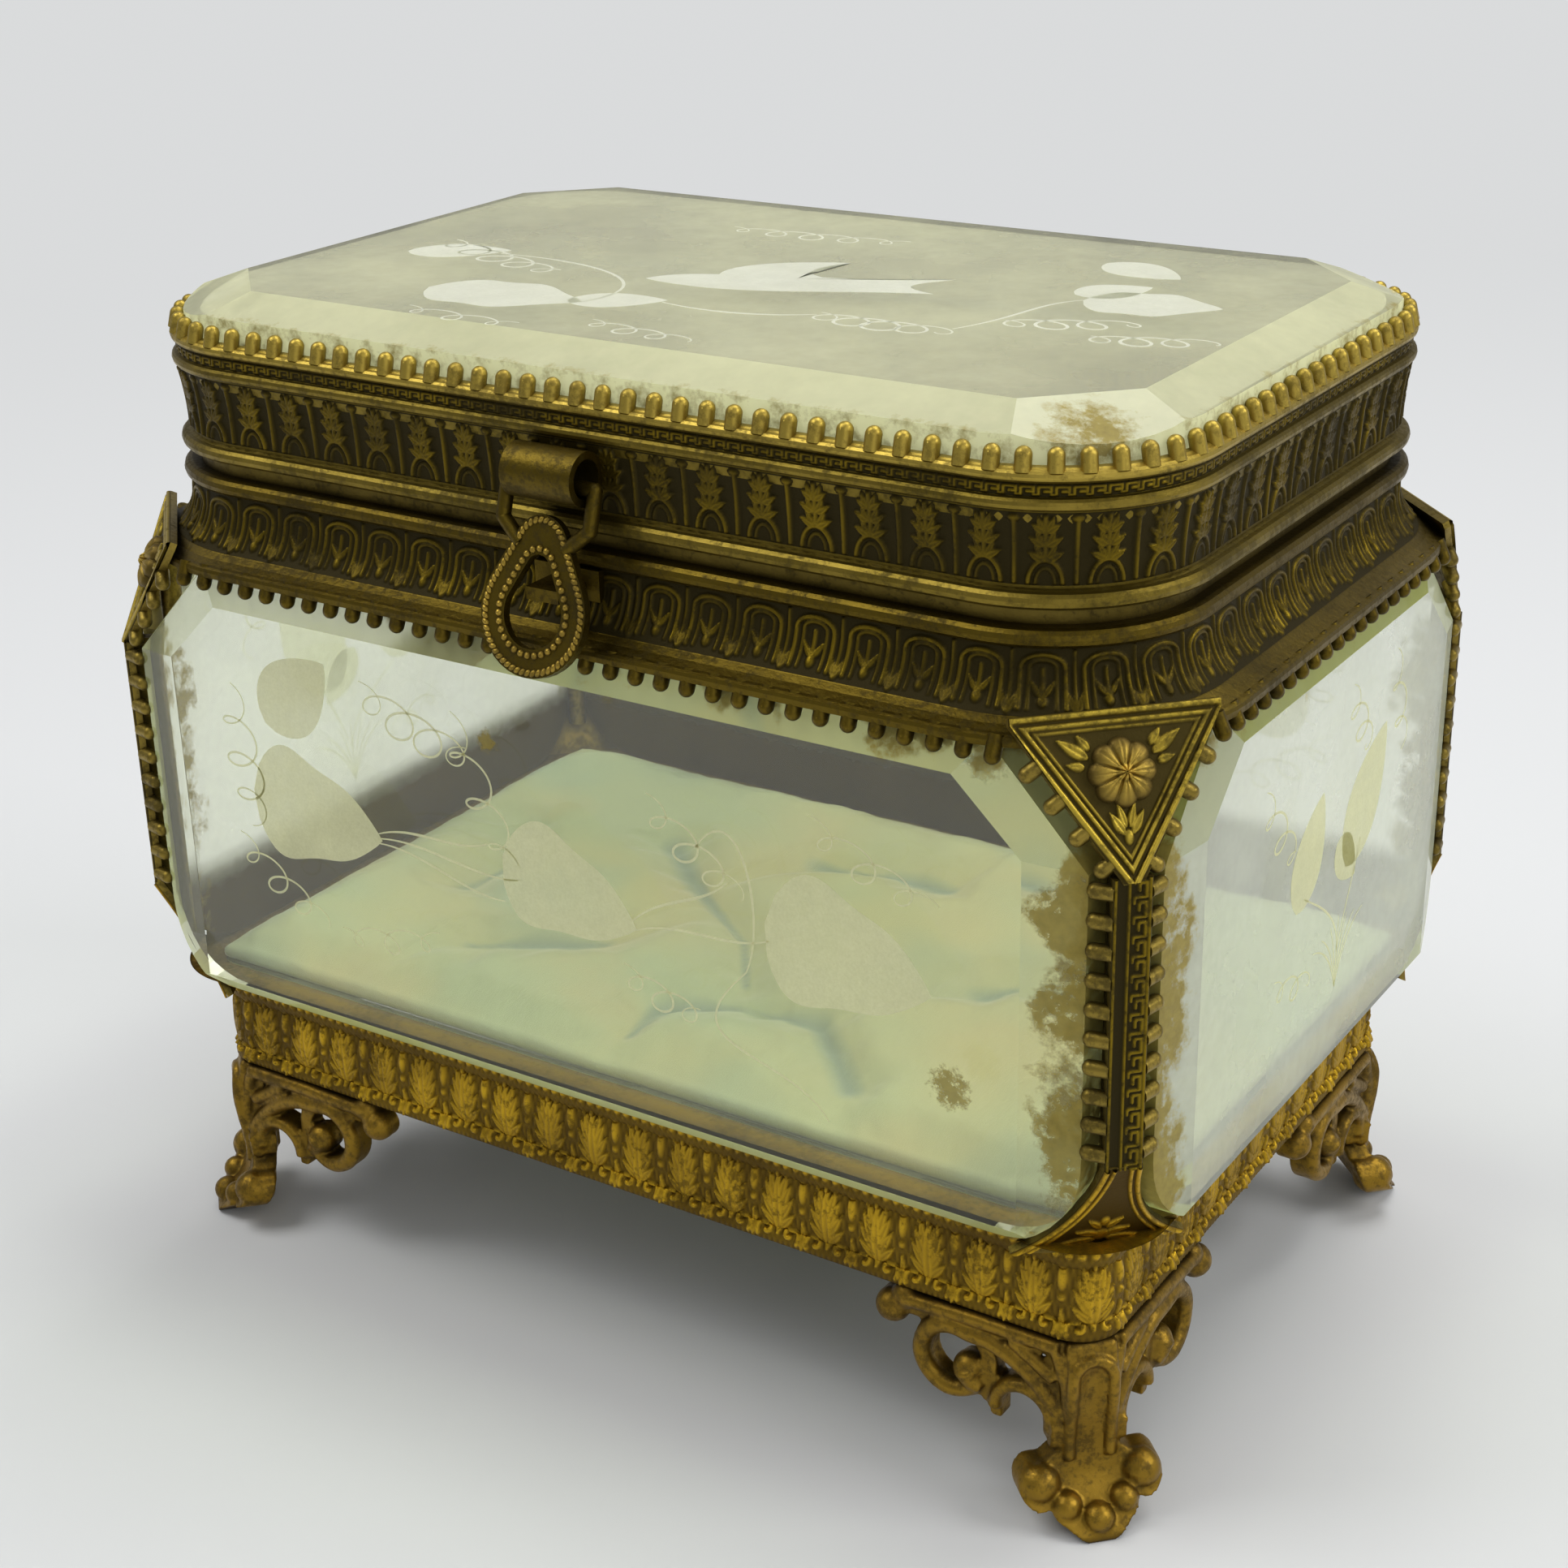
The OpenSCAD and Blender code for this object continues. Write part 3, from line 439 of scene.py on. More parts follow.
class Nodes:
    """A short way to write the nodes of a material or a world."""

    def __init__(self, owner):
        owner.use_nodes = True
        self.owner, self.tree = owner, owner.node_tree
        self.tree.nodes.clear()

    def add(self, kind, inputs=None, **settings):
        """A node with its settings; its inputs are links, numbers, or colours without alpha."""
        node = self.tree.nodes.new(f"ShaderNode{kind}")
        for key, value in settings.items():
            setattr(node, key, value)
        for key, value in (inputs or {}).items():
            socket = node.inputs[key]
            if isinstance(value, bpy.types.NodeSocket):
                self.tree.links.new(value, socket)
            else:
                socket.default_value = (*value, 1) if socket.type == "RGBA" else value
        return node

    def shader(self, kind, inputs=None):
        return self.add(kind, inputs).outputs[0]

    def layer(self, cover, under, over):
        return self.shader("MixShader", {0: cover, 1: under, 2: over})

    def place(self):
        return self.add("TexCoord").outputs["Object"]

    def split(self, vector):
        return self.add("SeparateXYZ", {"Vector": vector}).outputs

    def relief(self):
        return self.add("Attribute", attribute_name="relief").outputs["Fac"]

    def noise(self, scale, detail=4.0, rough=0.55):
        where = {"Vector": self.place(), "Scale": scale, "Detail": detail, "Roughness": rough}
        return self.add("TexNoise", where).outputs["Fac"]

    def ramp(self, value, *stops):
        """Colours or numbers at positions from 0 to 1."""
        node = self.add("ValToRGB", {"Fac": value})
        ramp = node.color_ramp
        while len(ramp.elements) < len(stops):
            ramp.elements.new(0.5)
        for element, (at, colour) in zip(ramp.elements, stops):
            element.position = at
            element.color = (*np.broadcast_to(colour, 3), 1)
        return node.outputs["Color"]

    def mix(self, factor, a, b):
        return self.add("Mix", {0: factor, 6: a, 7: b}, data_type="RGBA").outputs[2]

    def maths(self, kind, a, b=0.0, clamp=False):
        return self.add("Math", {0: a, 1: b}, operation=kind, use_clamp=clamp).outputs[0]

    plus = functools.partialmethod(maths, "ADD")
    minus = functools.partialmethod(maths, "SUBTRACT")
    times = functools.partialmethod(maths, "MULTIPLY")

    def rise(self, value, start, span):
        """From 0 at start to 1 at start + span, both in millimetres."""
        return self.times(self.minus(value, start * MM), 1 / (span * MM), True)

    def spot(self, centre, radius):
        """1 at a point in the frame, down to 0 at radius from it."""
        where = {0: self.place(), 1: tuple(v * MM for v in centre)}
        away = self.add("VectorMath", where, operation="DISTANCE").outputs["Value"]
        return self.minus(1.0, self.maths("DIVIDE", away, radius * MM), True)

    def from_middle(self, depth):
        return self.maths("ABSOLUTE", self.minus(depth, CENTRE_Y * MM))

    def bump(self, height, strength, reach):
        return self.add("Bump", {"Height": height, "Strength": strength, "Distance": reach}).outputs["Normal"]

    def finish(self, shader):
        self.add("OutputMaterial", {"Surface": shader})
        return self.owner


def material_nodes(name):
    return Nodes(bpy.data.materials.new(name))


BROWN = (0.075, 0.052, 0.010)
# Dark mixing colours: dark specks of soil, and painted shade in the hollows.
GRIME_AND_SHADE = (0.018, 0.014, 0.004)
WARM_GRIME_AND_SHADE = (0.03, 0.018, 0.003)
GILT_ROUGH = 0.38
WORN_SPAN = 0.45
HOLLOW_REACH = 2.2  # reach of the ambient occlusion that paints shade into hollows, in millimetres


def gilt_material(name, bright, dull, grime_and_shade_colour=GRIME_AND_SHADE, relief=False, shade_and_dirt=0.5, worn_from=0.55, lit_above=None):
    """Old gilding: dull ground, bright where it is rubbed on open high places, with dark specks of soil; darkening in
    hollows found by ambient occlusion, and on relief skins on low relief, is painted shade, and brightening above a
    given height is a painted highlight.
    """
    n = material_nodes(name)
    patches = n.noise(90, 6, 0.65)
    speckle = n.noise(1100, 4, 0.7)
    if relief:
        high = n.relief()
    else:
        high = n.add("AmbientOcclusion", {"Distance": HOLLOW_REACH * MM}, samples=8).outputs["AO"]
    wear_and_top_light = n.plus(n.times(high, 0.6), n.times(patches, 0.65))
    # Painted highlight: everything above the given height is made brighter, where the top light falls on it.
    if lit_above is not None:
        up = n.rise(n.split(n.place())["Z"], lit_above, 1.2)
        wear_and_top_light = n.plus(wear_and_top_light, n.minus(n.times(up, 0.7), 0.3))
    metal = n.mix(n.ramp(wear_and_top_light, (worn_from, 0.0), (worn_from + WORN_SPAN, 1.0)), dull, bright)
    # Painted shade: the colour darkens where ambient occlusion finds a hollow, and on relief skins where the relief
    # is low, together with the dark specks.
    hollow = n.maths("POWER", n.minus(1.0, high, True), 1.5)
    spots = n.ramp(n.plus(n.times(speckle, 0.6), n.times(patches, 0.4)), (0.42, 1.0), (0.52, 0.0))
    grime_and_shade_mask = n.times(n.maths("MAXIMUM", hollow, n.times(spots, 0.8)), shade_and_dirt)
    grain = n.bump(n.plus(n.noise(1300, 5, 0.7), n.noise(420, 4, 0.6)), 0.5, 0.00014)
    return n.finish(n.shader("BsdfPrincipled", {
        "Base Color": n.mix(grime_and_shade_mask, metal, grime_and_shade_colour), "Metallic": n.minus(0.95, n.times(grime_and_shade_mask, 0.35)),
        "Roughness": n.plus(GILT_ROUGH, n.times(grime_and_shade_mask, 0.35)), "Specular IOR Level": 0.25, "Normal": grain}))


def glass_material(name, tint, haze, haze_amount, flat, crust_and_reflection=None, bevel_reflection_amount=0.5,
                   bevel_reflection_tint=(0.58, 0.58, 0.24)):
    """Old green-tinged plate glass with haze and a yellow crust; paler haze on the bevels off the flat direction is
    painted reflection, as is the brown layer that the edge mask can lay along the foot of a panel.
    """
    n = material_nodes(name)
    wave = n.bump(n.noise(26, 2, 0.4), 0.06, 0.002)
    clear = n.shader("BsdfPrincipled", {
        "Base Color": tint, "Roughness": 0.02, "IOR": 1.5, "Transmission Weight": 1.0, "Normal": wave})
    normal = n.split(n.add("TexCoord").outputs["Normal"])[flat]
    # Painted reflection: bevels off the flat direction get paler haze, tinted towards the bevel colour, for the light
    # they refract.
    bevel = n.ramp(n.maths("ABSOLUTE", normal), (0.90, 1.0), (0.985, 0.0))
    cast = n.mix(bevel, haze, bevel_reflection_tint)
    soft = n.layer(0.55, n.shader("BsdfTranslucent", {"Color": cast}), n.shader("BsdfDiffuse", {"Color": cast}))
    cloud = n.ramp(n.noise(45, 5, 0.6), (0.35, haze_amount * 0.6), (0.7, haze_amount * 1.4))
    body = n.layer(n.plus(cloud, n.times(bevel, bevel_reflection_amount), True), clear, soft)
    if crust_and_reflection is not None:
        crust = n.shader("BsdfPrincipled", {
            "Base Color": n.mix(n.noise(1100, 3), (0.17, 0.12, 0.006), (0.34, 0.26, 0.035)), "Roughness": 0.8})
        # Painted reflection: this brown layer stands in for the brass base band seen in the low bevel.
        dark = n.shader("BsdfDiffuse", {"Color": n.mix(n.noise(60, 4), (0.03, 0.021, 0.004), (0.075, 0.05, 0.01))})
        yellow, brown = crust_and_reflection(n)
        body = n.layer(yellow, n.layer(brown, body, dark), crust)
    through = n.shader("BsdfTransparent", {"Color": (0.86, 0.89, 0.82)})
    return n.finish(n.layer(n.add("LightPath").outputs["Is Shadow Ray"], body, through))


CRUST_W = 6.5
CRUST_TOP = 6.0


def panel_crust_and_reflection(axis, half, low_reflection, blobs=()):
    """Crust where a wall panel meets its prongs, thickest at the top and the corners; blobs are (x, y, z, radius).

    It is heavier towards the front right corner; the third argument sets how deep a brown band grows along the foot
    of the panel, which is painted reflection of the brass base band in the low bevel.
    """
    def mask(n):
        place = n.split(n.place())
        if axis == "X":
            side, toward, middle = n.maths("ABSOLUTE", place["X"]), 0.35 / (half * MM), 0.8
        else:
            side, toward = n.from_middle(place["Y"]), -0.35 / (half * MM)
            middle = 0.8 - toward * CENTRE_Y * MM
        weight = n.plus(n.times(place[axis], toward), middle)
        top = n.rise(place["Z"], COLLAR_Z - CRUST_TOP, CRUST_TOP)
        near = n.maths("MAXIMUM", n.rise(side, half - CRUST_W, CRUST_W), top)
        rough = n.noise(520, 6, 0.7)
        wide = n.ramp(n.noise(110, 3, 0.5), (0.35, 0.0), (0.65, 1.0))
        ground = n.times(n.plus(n.times(near, 0.6), n.times(wide, 0.55)), weight)
        crust = n.ramp(n.times(ground, rough), (0.28, 0.0), (0.42, 0.9))
        crust = n.times(crust, n.maths("GREATER_THAN", near, 0.02))
        for *centre, radius in blobs:
            stain = n.times(n.spot(centre, radius), n.noise(700, 5, 0.75))
            crust = n.maths("MAXIMUM", crust, n.ramp(stain, (0.3, 0.0), (0.4, 0.8)))
        # Painted reflection: a brown band along the foot of the panel, for the brass base band seen in its low bevel.
        low = n.times(n.minus((WALL_Z + 11) * MM, place["Z"]), 1 / (7.0 * MM), True)
        low = n.times(low, n.plus(0.55, n.times(rough, 0.9)))
        return crust, n.ramp(low, (0.1, 0.0), (0.5, low_reflection))
    return mask


def lid_grime(n):
    """Crust along the rim of the lid glass, mostly at the front right corner."""
    place = n.split(n.place())
    side = n.rise(n.maths("ABSOLUTE", place["X"]), FRAME_HW - CRUST_TOP, CRUST_TOP)
    end = n.rise(n.from_middle(place["Y"]), FRAME_HD - CRUST_TOP, CRUST_TOP)
    crust = n.ramp(n.times(n.maths("MAXIMUM", side, end), n.noise(480, 6, 0.7)), (0.34, 0.0), (0.5, 0.8))
    spot = n.spot((FRAME_HW - 7.5, CENTRE_Y - FRAME_HD + 6.5, LID_TOP), 9)
    stain = n.ramp(n.times(n.maths("POWER", spot, 0.6), n.noise(420, 5, 0.7)), (0.26, 0.0), (0.4, 0.9))
    return n.maths("MAXIMUM", crust, stain), 0.0


def engraving_material(name, low, high):
    """Matt wheel-cut frosting between two colours."""
    n = material_nodes(name)
    grain = n.ramp(n.noise(2600, 4, 0.8), (0.3, low), (0.75, high))
    solid = n.layer(0.45, n.shader("BsdfDiffuse", {"Color": grain}), n.shader("BsdfTranslucent", {"Color": grain}))
    density = n.ramp(n.noise(120, 4, 0.6), (0.3, 0.72), (0.7, 0.92))
    return n.finish(n.layer(density, n.shader("BsdfTransparent"), solid))


def silk_material():
    """Faded grey-green silk with a fine weave, buff where it is soiled; the blue-green along the folds and in broad
    soft patches is painted shade.
    """
    n = material_nodes("silk")
    pale = n.mix(n.ramp(n.noise(22, 3, 0.5), (0.38, 0.0), (0.62, 1.0)), (0.38, 0.43, 0.24), (0.47, 0.43, 0.20))
    # Painted shade: broad soft blue-green patches.
    pale = n.mix(n.ramp(n.noise(31, 2, 0.4), (0.52, 0.0), (0.72, 0.75)), pale, (0.24, 0.34, 0.26))
    pale = n.mix(n.ramp(n.noise(48, 4, 0.6), (0.55, 0.0), (0.75, 0.5)), pale, (0.46, 0.39, 0.19))
    # Painted shade: blue-green along the folds and near the border, read from the relief attribute of the pad.
    colour = n.mix(n.ramp(n.relief(), (0.1, 0.9), (0.8, 0.0)), pale, (0.22, 0.28, 0.20))
    weave = n.add("TexWave", {"Vector": n.place(), "Scale": 900.0, "Distortion": 0.6}).outputs["Fac"]
    return n.finish(n.shader("BsdfPrincipled", {
        "Base Color": colour, "Roughness": 0.55, "Sheen Weight": 0.3, "Sheen Roughness": 0.4,
        "Normal": n.bump(weave, 0.12, 0.0001)}))


# ---- Engraved drawings: flat outlines on a plane, in millimetres ----


def leaf_outline(root, tip, width, bulge=0.5, lobes=0):
    """Pointed leaf from root to tip, with a scalloped root end when lobes is above 0."""
    a, b = np.asarray(root, float), np.asarray(tip, float)
    along = b - a
    across = np.array([-along[1], along[0]]) / np.hypot(*along) * width
    t = np.linspace(0, 1, 26)
    half = np.sin(np.pi * t ** (bulge * 1.5)) ** 0.8
    if lobes:
        half = half * (1 + 0.1 * np.sin(t * math.pi * lobes))
    up = a + t[:, None] * along + half[:, None] * across
    down = a + t[::-1, None] * along - half[::-1, None] * across
    return np.vstack([up, down[1:-1]])


def loops(start, end, turns, radius, squash=0.7):
    """Pen-like row of loops from start to end."""
    a, b = np.asarray(start, float), np.asarray(end, float)
    t = np.linspace(0, 1, int(26 * turns))[:, None]
    phase = t * turns * 2 * math.pi
    size = radius * (0.55 + 0.45 * np.sin(math.pi * t))
    return a + t * (b - a) + size * np.hstack([np.sin(phase), squash * (np.cos(phase) - 1)])


def ribbon(path, width):
    """Outline strip of a drawn line, thinner towards its ends."""
    p = np.asarray(path, float)
    d = np.gradient(p, axis=0)
    d /= np.hypot(d[:, 0], d[:, 1])[:, None] + 1e-9
    side = np.stack([-d[:, 1], d[:, 0]], -1)
    half = width / 2 * (0.45 + 0.55 * np.sin(np.pi * np.linspace(0, 1, len(p))))[:, None]
    return p + side * half, p - side * half


def engraving(name, place, outlines, lines, body, material):
    """Flat shapes and drawn lines; place turns (u, v) into a point of the frame."""
    verts, faces = [], []
    for outline in outlines:
        start = len(verts)
        middle = outline.mean(axis=0)
        verts.append(middle)
        verts.extend(outline)
        count = len(outline)
        faces.extend([start, start + 1 + k, start + 1 + (k + 1) % count] for k in range(count))
    for path, width in lines:
        left, right = ribbon(path, width)
        start, count = len(verts), len(left)
        verts.extend(left)
        verts.extend(right)
        faces.extend([start + k, start + k + 1, start + count + k + 1, start + count + k] for k in range(count - 1))
    obj = new_mesh(name, [place(*v) for v in verts], faces, material)
    return ride_with(obj, body)


def drawing(leaves, rows):
    """Leaves and lines; a row is four curve points, or start, end, turns and radius of loops, and then a width."""
    lines = [(loops(*row) if isinstance(row[2], float) else bezier(row), width) for *row, width in rows]
    return [leaf_outline(*leaf) for leaf in leaves], lines


def front_drawing():
    rows = []
    bend = np.array([0, 1.6])
    for root, tip in [((-26, 64), (-6, 63.5)), ((-26, 63.4), (-8, 60.5)), ((-26, 64.6), (-10, 67)),
                      ((10, 61.5), (27, 64.5)), ((9.5, 62.5), (22, 70))]:
        a, b = np.asarray(root, float), np.asarray(tip, float)
        rows.append((a, a + (b - a) * 0.35 + bend, a + (b - a) * 0.7 - bend, b, 0.35))
    return drawing(
        [((-45, 66), (-25.5, 63.8), 7.0, 0.42, 3), ((-42, 75), (-32, 84), 4.6),
         ((-8, 66), (10, 61.5), 6.4, 0.42, 3), ((26.5, 66.5), (46.4, 63.2), 7.4, 0.42, 3)],
        [*rows, ((-27, 83), (-12, 78), 4.0, 3.0, 0.3), ((-47, 79), (-45, 63), 3.6, 2.6, 0.3),
         ((-14, 82), (-7, 66), 3.2, 2.4, 0.3), ((12, 78), (23, 70), 3.4, 2.4, 0.3),
         ((-48, 60), (-36, 52), 3.4, 2.4, 0.3), ((8, 57), (18, 54), 3.0, 2.2, 0.3),
         ((-33, 51), (-18, 54), 3.0, 2.2, 0.25), ((32, 80), (46, 74), 3.2, 2.4, 0.25),
         ((18, 73), (24, 82), (27, 66), (24, 60), 0.35), ((24, 60), (12, 48), (30, 52), (34, 45), 0.35)])


def side_drawing():
    grass = [((4, 47.5), (4 + k * 0.4, 51), (4 + k * 1.2, 54), (4 + k * 2.4, 56.5 - abs(k) * 0.6), 0.25)
             for k in range(-3, 4)]
    return drawing(
        [((-9, 62), (-3, 74), 4.2), ((5, 62), (15, 76), 5.0), ((2, 66), (8, 60), 2.6)],
        [((4, 52), (4, 57), (-2, 60), (-7, 63), 0.3), ((4, 52), (6, 58), (8, 60), (9, 64), 0.3),
         ((-19, 80), (-10, 70), 3.0, 2.3, 0.3), ((4, 84), (10, 76), 2.8, 2.2, 0.3),
         ((17, 84), (21, 72), 2.6, 2.0, 0.3), ((-14, 56), (-4, 53), 2.6, 2.0, 0.25), *grass])


def bird_outline():
    """Gliding bird seen from the side: head, wing, under the wing, tail, fork, belly and throat."""
    at, outline = (-16, -3.2), []
    for *bend, end, steps in [
            ((-14.5, -0.6), (-11.5, 0.4), (-8.5, 0.6), 10), ((-9.5, 5.5), (-3.5, 9.5), (4.5, 9.8), 12),
            ((0.5, 6.5), (0.5, 3.5), (3.5, 1.8), 10), ((8.5, 1.6), (13, 2.2), (18.5, 4.2), 10),
            ((13.5, 0.4), (13.0, -0.8), (18.0, -3.4), 10), ((8, -3.6), (-1, -8.0), (-9.5, -5.8), 14),
            ((-12.5, -5.0), (-14.5, -4.4), (-16, -3.2), 8)]:
        outline.append(bezier([at, *bend, end], steps)[:-1])
        at = end
    return np.vstack(outline)


def lid_drawing():
    a = math.radians(14)
    bird = bird_outline() @ np.array([[math.cos(a), math.sin(a)], [-math.sin(a), math.cos(a)]]) + [2, -2]
    leaves, lines = drawing(
        [((-32, -24), (-12, -22), 6.0, 0.5, 4), ((-14, -22), (-4, -17), 3.4), ((36, 4), (51, 7), 5.4, 0.5, 4),
         ((34, 6), (40, 13), 3.4), ((-47, -10), (-36, -4), 3.6), ((30, 22), (41, 18), 3.4)],
        [((-46, -2), (-24, -10), 5.0, 3.0, 0.4), ((14, -14), (30, -14), 4.6, 3.0, 0.4),
         ((33, -8), (46, -2), 3.6, 2.8, 0.4), ((44, -10), (56, -6), 3.4, 2.6, 0.4),
         ((-28, -32), (-12, -33), 3.0, 2.2, 0.3), ((-6, -28), (8, -30), 3.4, 2.2, 0.3),
         ((-4, -18), (4, -20), (10, -18), (14, -15), 0.45), ((30, -14), (34, -6), (32, 0), (36, 4), 0.45),
         ((-12, -22), (-8, -12), (-20, -4), (-36, -6), 0.4), ((-20, 20), (4, 22), 5.0, 2.6, 0.3)])
    return [bird, *leaves], lines


# ---- Silk pad ----


SEAMS = [[(-26, 13), (-18, 6), (-9, -1), (-3, -5), (4, -15)], [(-1, -32), (-2, -25), (6, -20), (17, -19), (28, -30)],
         [(-32, -23), (-25, -19), (-17, -14)], [(-6, 18), (3, 20), (12, 20)], [(33, 14), (35, 5), (30, -3)],
         [(-47, 8), (-42, -1), (-43, -10)]]
PUFF_SCALE = 20  # the sheet is simulated enlarged by this
PUFF_STEPS = 20


def puffed(points, held):
    """Heights and places of a held sheet after air has filled it, by a short cloth simulation."""
    rows, cols = held.shape
    mesh = bpy.data.meshes.new("sheet")
    mesh.from_pydata((points.reshape(-1, 3) * MM * PUFF_SCALE).tolist(), [], grid_faces(rows, cols).tolist())
    sheet = add_object("sheet", mesh)
    pins = sheet.vertex_groups.new(name="held")
    pins.add(np.flatnonzero(held.reshape(-1)).tolist(), 1.0, "ADD")
    cloth = sheet.modifiers.new("puff", "CLOTH")
    for key, value in {
            "vertex_group_mass": "held", "quality": 5, "tension_stiffness": 8, "compression_stiffness": 8,
            "shear_stiffness": 3, "bending_stiffness": 0.15, "use_pressure": True, "uniform_pressure_force": 1.6,
            "shrink_min": -0.05}.items():
        setattr(cloth.settings, key, value)
    cloth.settings.effector_weights.gravity = 0
    cloth.collision_settings.use_collision = False
    cloth.point_cache.frame_end = PUFF_STEPS
    for step in range(PUFF_STEPS):
        SCENE.frame_set(step + 1)
    shaped = sheet.evaluated_get(bpy.context.evaluated_depsgraph_get()).to_mesh()
    result = np.zeros(rows * cols * 3)
    shaped.vertices.foreach_get("co", result)
    SCENE.frame_set(1)
    bpy.data.objects.remove(sheet)
    return result.reshape(rows, cols, 3) / (MM * PUFF_SCALE)


def silk_pad(material):
    """Padded sheet, held down along its border and its gathered folds and puffed between them."""
    low, high = box_mm("silk_pad")
    nx, ny = 150, 92
    X, Y = np.meshgrid(np.linspace(low[0], high[0], nx), np.linspace(low[1], high[1], ny))
    seam = np.min([distance(X, Y - CENTRE_Y, path) for path in SEAMS], axis=0)
    edge = np.minimum(np.minimum(X - low[0], high[0] - X), np.minimum(Y - low[1], high[1] - Y))
    thick = high[2] - low[2]
    crown = np.clip(edge / 6, 0, 1)
    top = low[2] + thick * (0.35 + 0.3 * crown * (2 - crown)) - 0.9 * np.exp(-((seam / 1.2) ** 2)) * crown
    sheet = np.stack([X, Y, top], -1)
    held = (edge < 0.1) | ((seam < 0.55) & (edge > 5))
    sheet = puffed(sheet, held)
    for _ in range(3):
        z = np.pad(sheet[..., 2], 1, mode="edge")
        sheet[..., 2] = (z[1:-1, 1:-1] * 2 + z[:-2, 1:-1] + z[2:, 1:-1] + z[1:-1, :-2] + z[1:-1, 2:]) / 6
    wrinkle = np.sin(X * 0.9 + 3 * np.sin(Y * 0.21)) * np.sin(Y * 0.37 + 2 * np.sin(X * 0.13))
    sheet[..., 2] += 0.16 * wrinkle * crown * np.exp(-seam / 5)
    sheet = np.clip(sheet, [low[0], low[1], low[2] + 0.4], high)
    # Painted shade for the silk: low along the folds and near the border, where the material darkens the colour.
    relief = np.clip(seam / (2.2 + 1.3 * np.sin(X * 0.31 + Y * 0.23)), 0, 1) * (0.7 + 0.3 * np.clip(edge / 3, 0, 1))
    count = nx * ny
    ids = np.arange(count).reshape(ny, nx)
    rim = np.concatenate([ids[0], ids[1:, -1], ids[-1, -2::-1], ids[-2:0:-1, 0]])
    after = np.roll(rim, -1)
    base = np.stack([X, Y, 0 * X + low[2] + 0.02], -1)
    verts = np.vstack([sheet.reshape(-1, 3), base.reshape(-1, 3)])
    quads = grid_faces(ny, nx)
    faces = np.vstack([quads, quads[:, ::-1] + count, np.stack([rim, rim + count, after + count, after], -1)])
    obj = new_mesh("pad", verts, faces, material, np.concatenate([relief.reshape(-1), np.full(count, 0.6)]))
    smooth = obj.modifiers.new("smooth", "SUBSURF")
    smooth.levels = smooth.render_levels = 1
    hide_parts("silk_pad")
    return ride_with(obj, "body")


# ---- Cast feet ----


def tube(path, radius, spokes=10):
    """Vertices and faces of a closed round bar along a path, tapering to its ends where radius is a list."""
    path = np.asarray(path, float)
    along = np.gradient(path, axis=0)
    along /= np.linalg.norm(along, axis=1)[:, None]
    up = np.array([0.31, 0.17, 0.93])
    side = np.cross(along, up)
    side /= np.linalg.norm(side, axis=1)[:, None]
    other = np.cross(along, side)
    radius = np.broadcast_to(radius, len(path))[:, None, None]
    a = (np.arange(spokes) / spokes * 2 * math.pi)[None, :, None]
    rings = path[:, None, :] + radius * (np.cos(a) * side[:, None, :] + np.sin(a) * other[:, None, :])
    faces = grid_faces(len(path), spokes, closed=True).tolist()
    last = (len(path) - 1) * spokes
    return rings.reshape(-1, 3), [*faces, list(range(spokes))[::-1], list(range(last, last + spokes))]


def ball(centre, radius):
    """Vertices and faces of a closed ball."""
    a = np.linspace(-math.pi / 2, math.pi / 2, 9)
    path = np.stack([np.sin(a), 0 * a, 0 * a], -1) * radius + centre
    return tube(path, np.maximum(np.cos(a), 0.08) * radius, 14)


def arc(centre, radius, start, end, steps):
    a = np.radians(np.linspace(start, end, steps))
    return np.stack([centre[0] + radius * np.cos(a), centre[1] + radius * np.sin(a)], -1)


def wing_forms():
    """Bars of the foot's pierced wing, as (run, height, out from the band) paths with their radii."""
    eye, bow = (16.8, 15.6), (8.3, 11.3)
    scroll = np.vstack([bezier([(3.4, 12.4), (5.4, 15.2), (8.6, 18.4), (12.6, 19.3)], 12),
                        arc(eye, 4.1, 112, -128, 26)])
    fade = np.concatenate([np.linspace(0.9, 1.15, 12), np.full(20, 1.15), np.linspace(1.15, 0.7, 6)])
    bars = [(scroll, fade), (arc(bow, 3.45, 196, -6, 20), 0.85), ([(4.0, 21.3), (14, 21.35), (23.4, 21.0)], 0.95),
            ([(9.8, 20.4), (7.2, 18.9), (4.4, 17.2)], 0.9),
            ([(13.4, 12.6), (14.6, 13.2), (15.2, 14.6)], [0.8, 1.2, 1.7]),
            ([(4.2, 20.6), (3.0, 17.0), (2.6, 13.0)], 0.9)]
    return [(np.column_stack([path, np.full(len(path), 0.55)]), radius) for path, radius in bars]


FOOT_VOXEL = 0.24


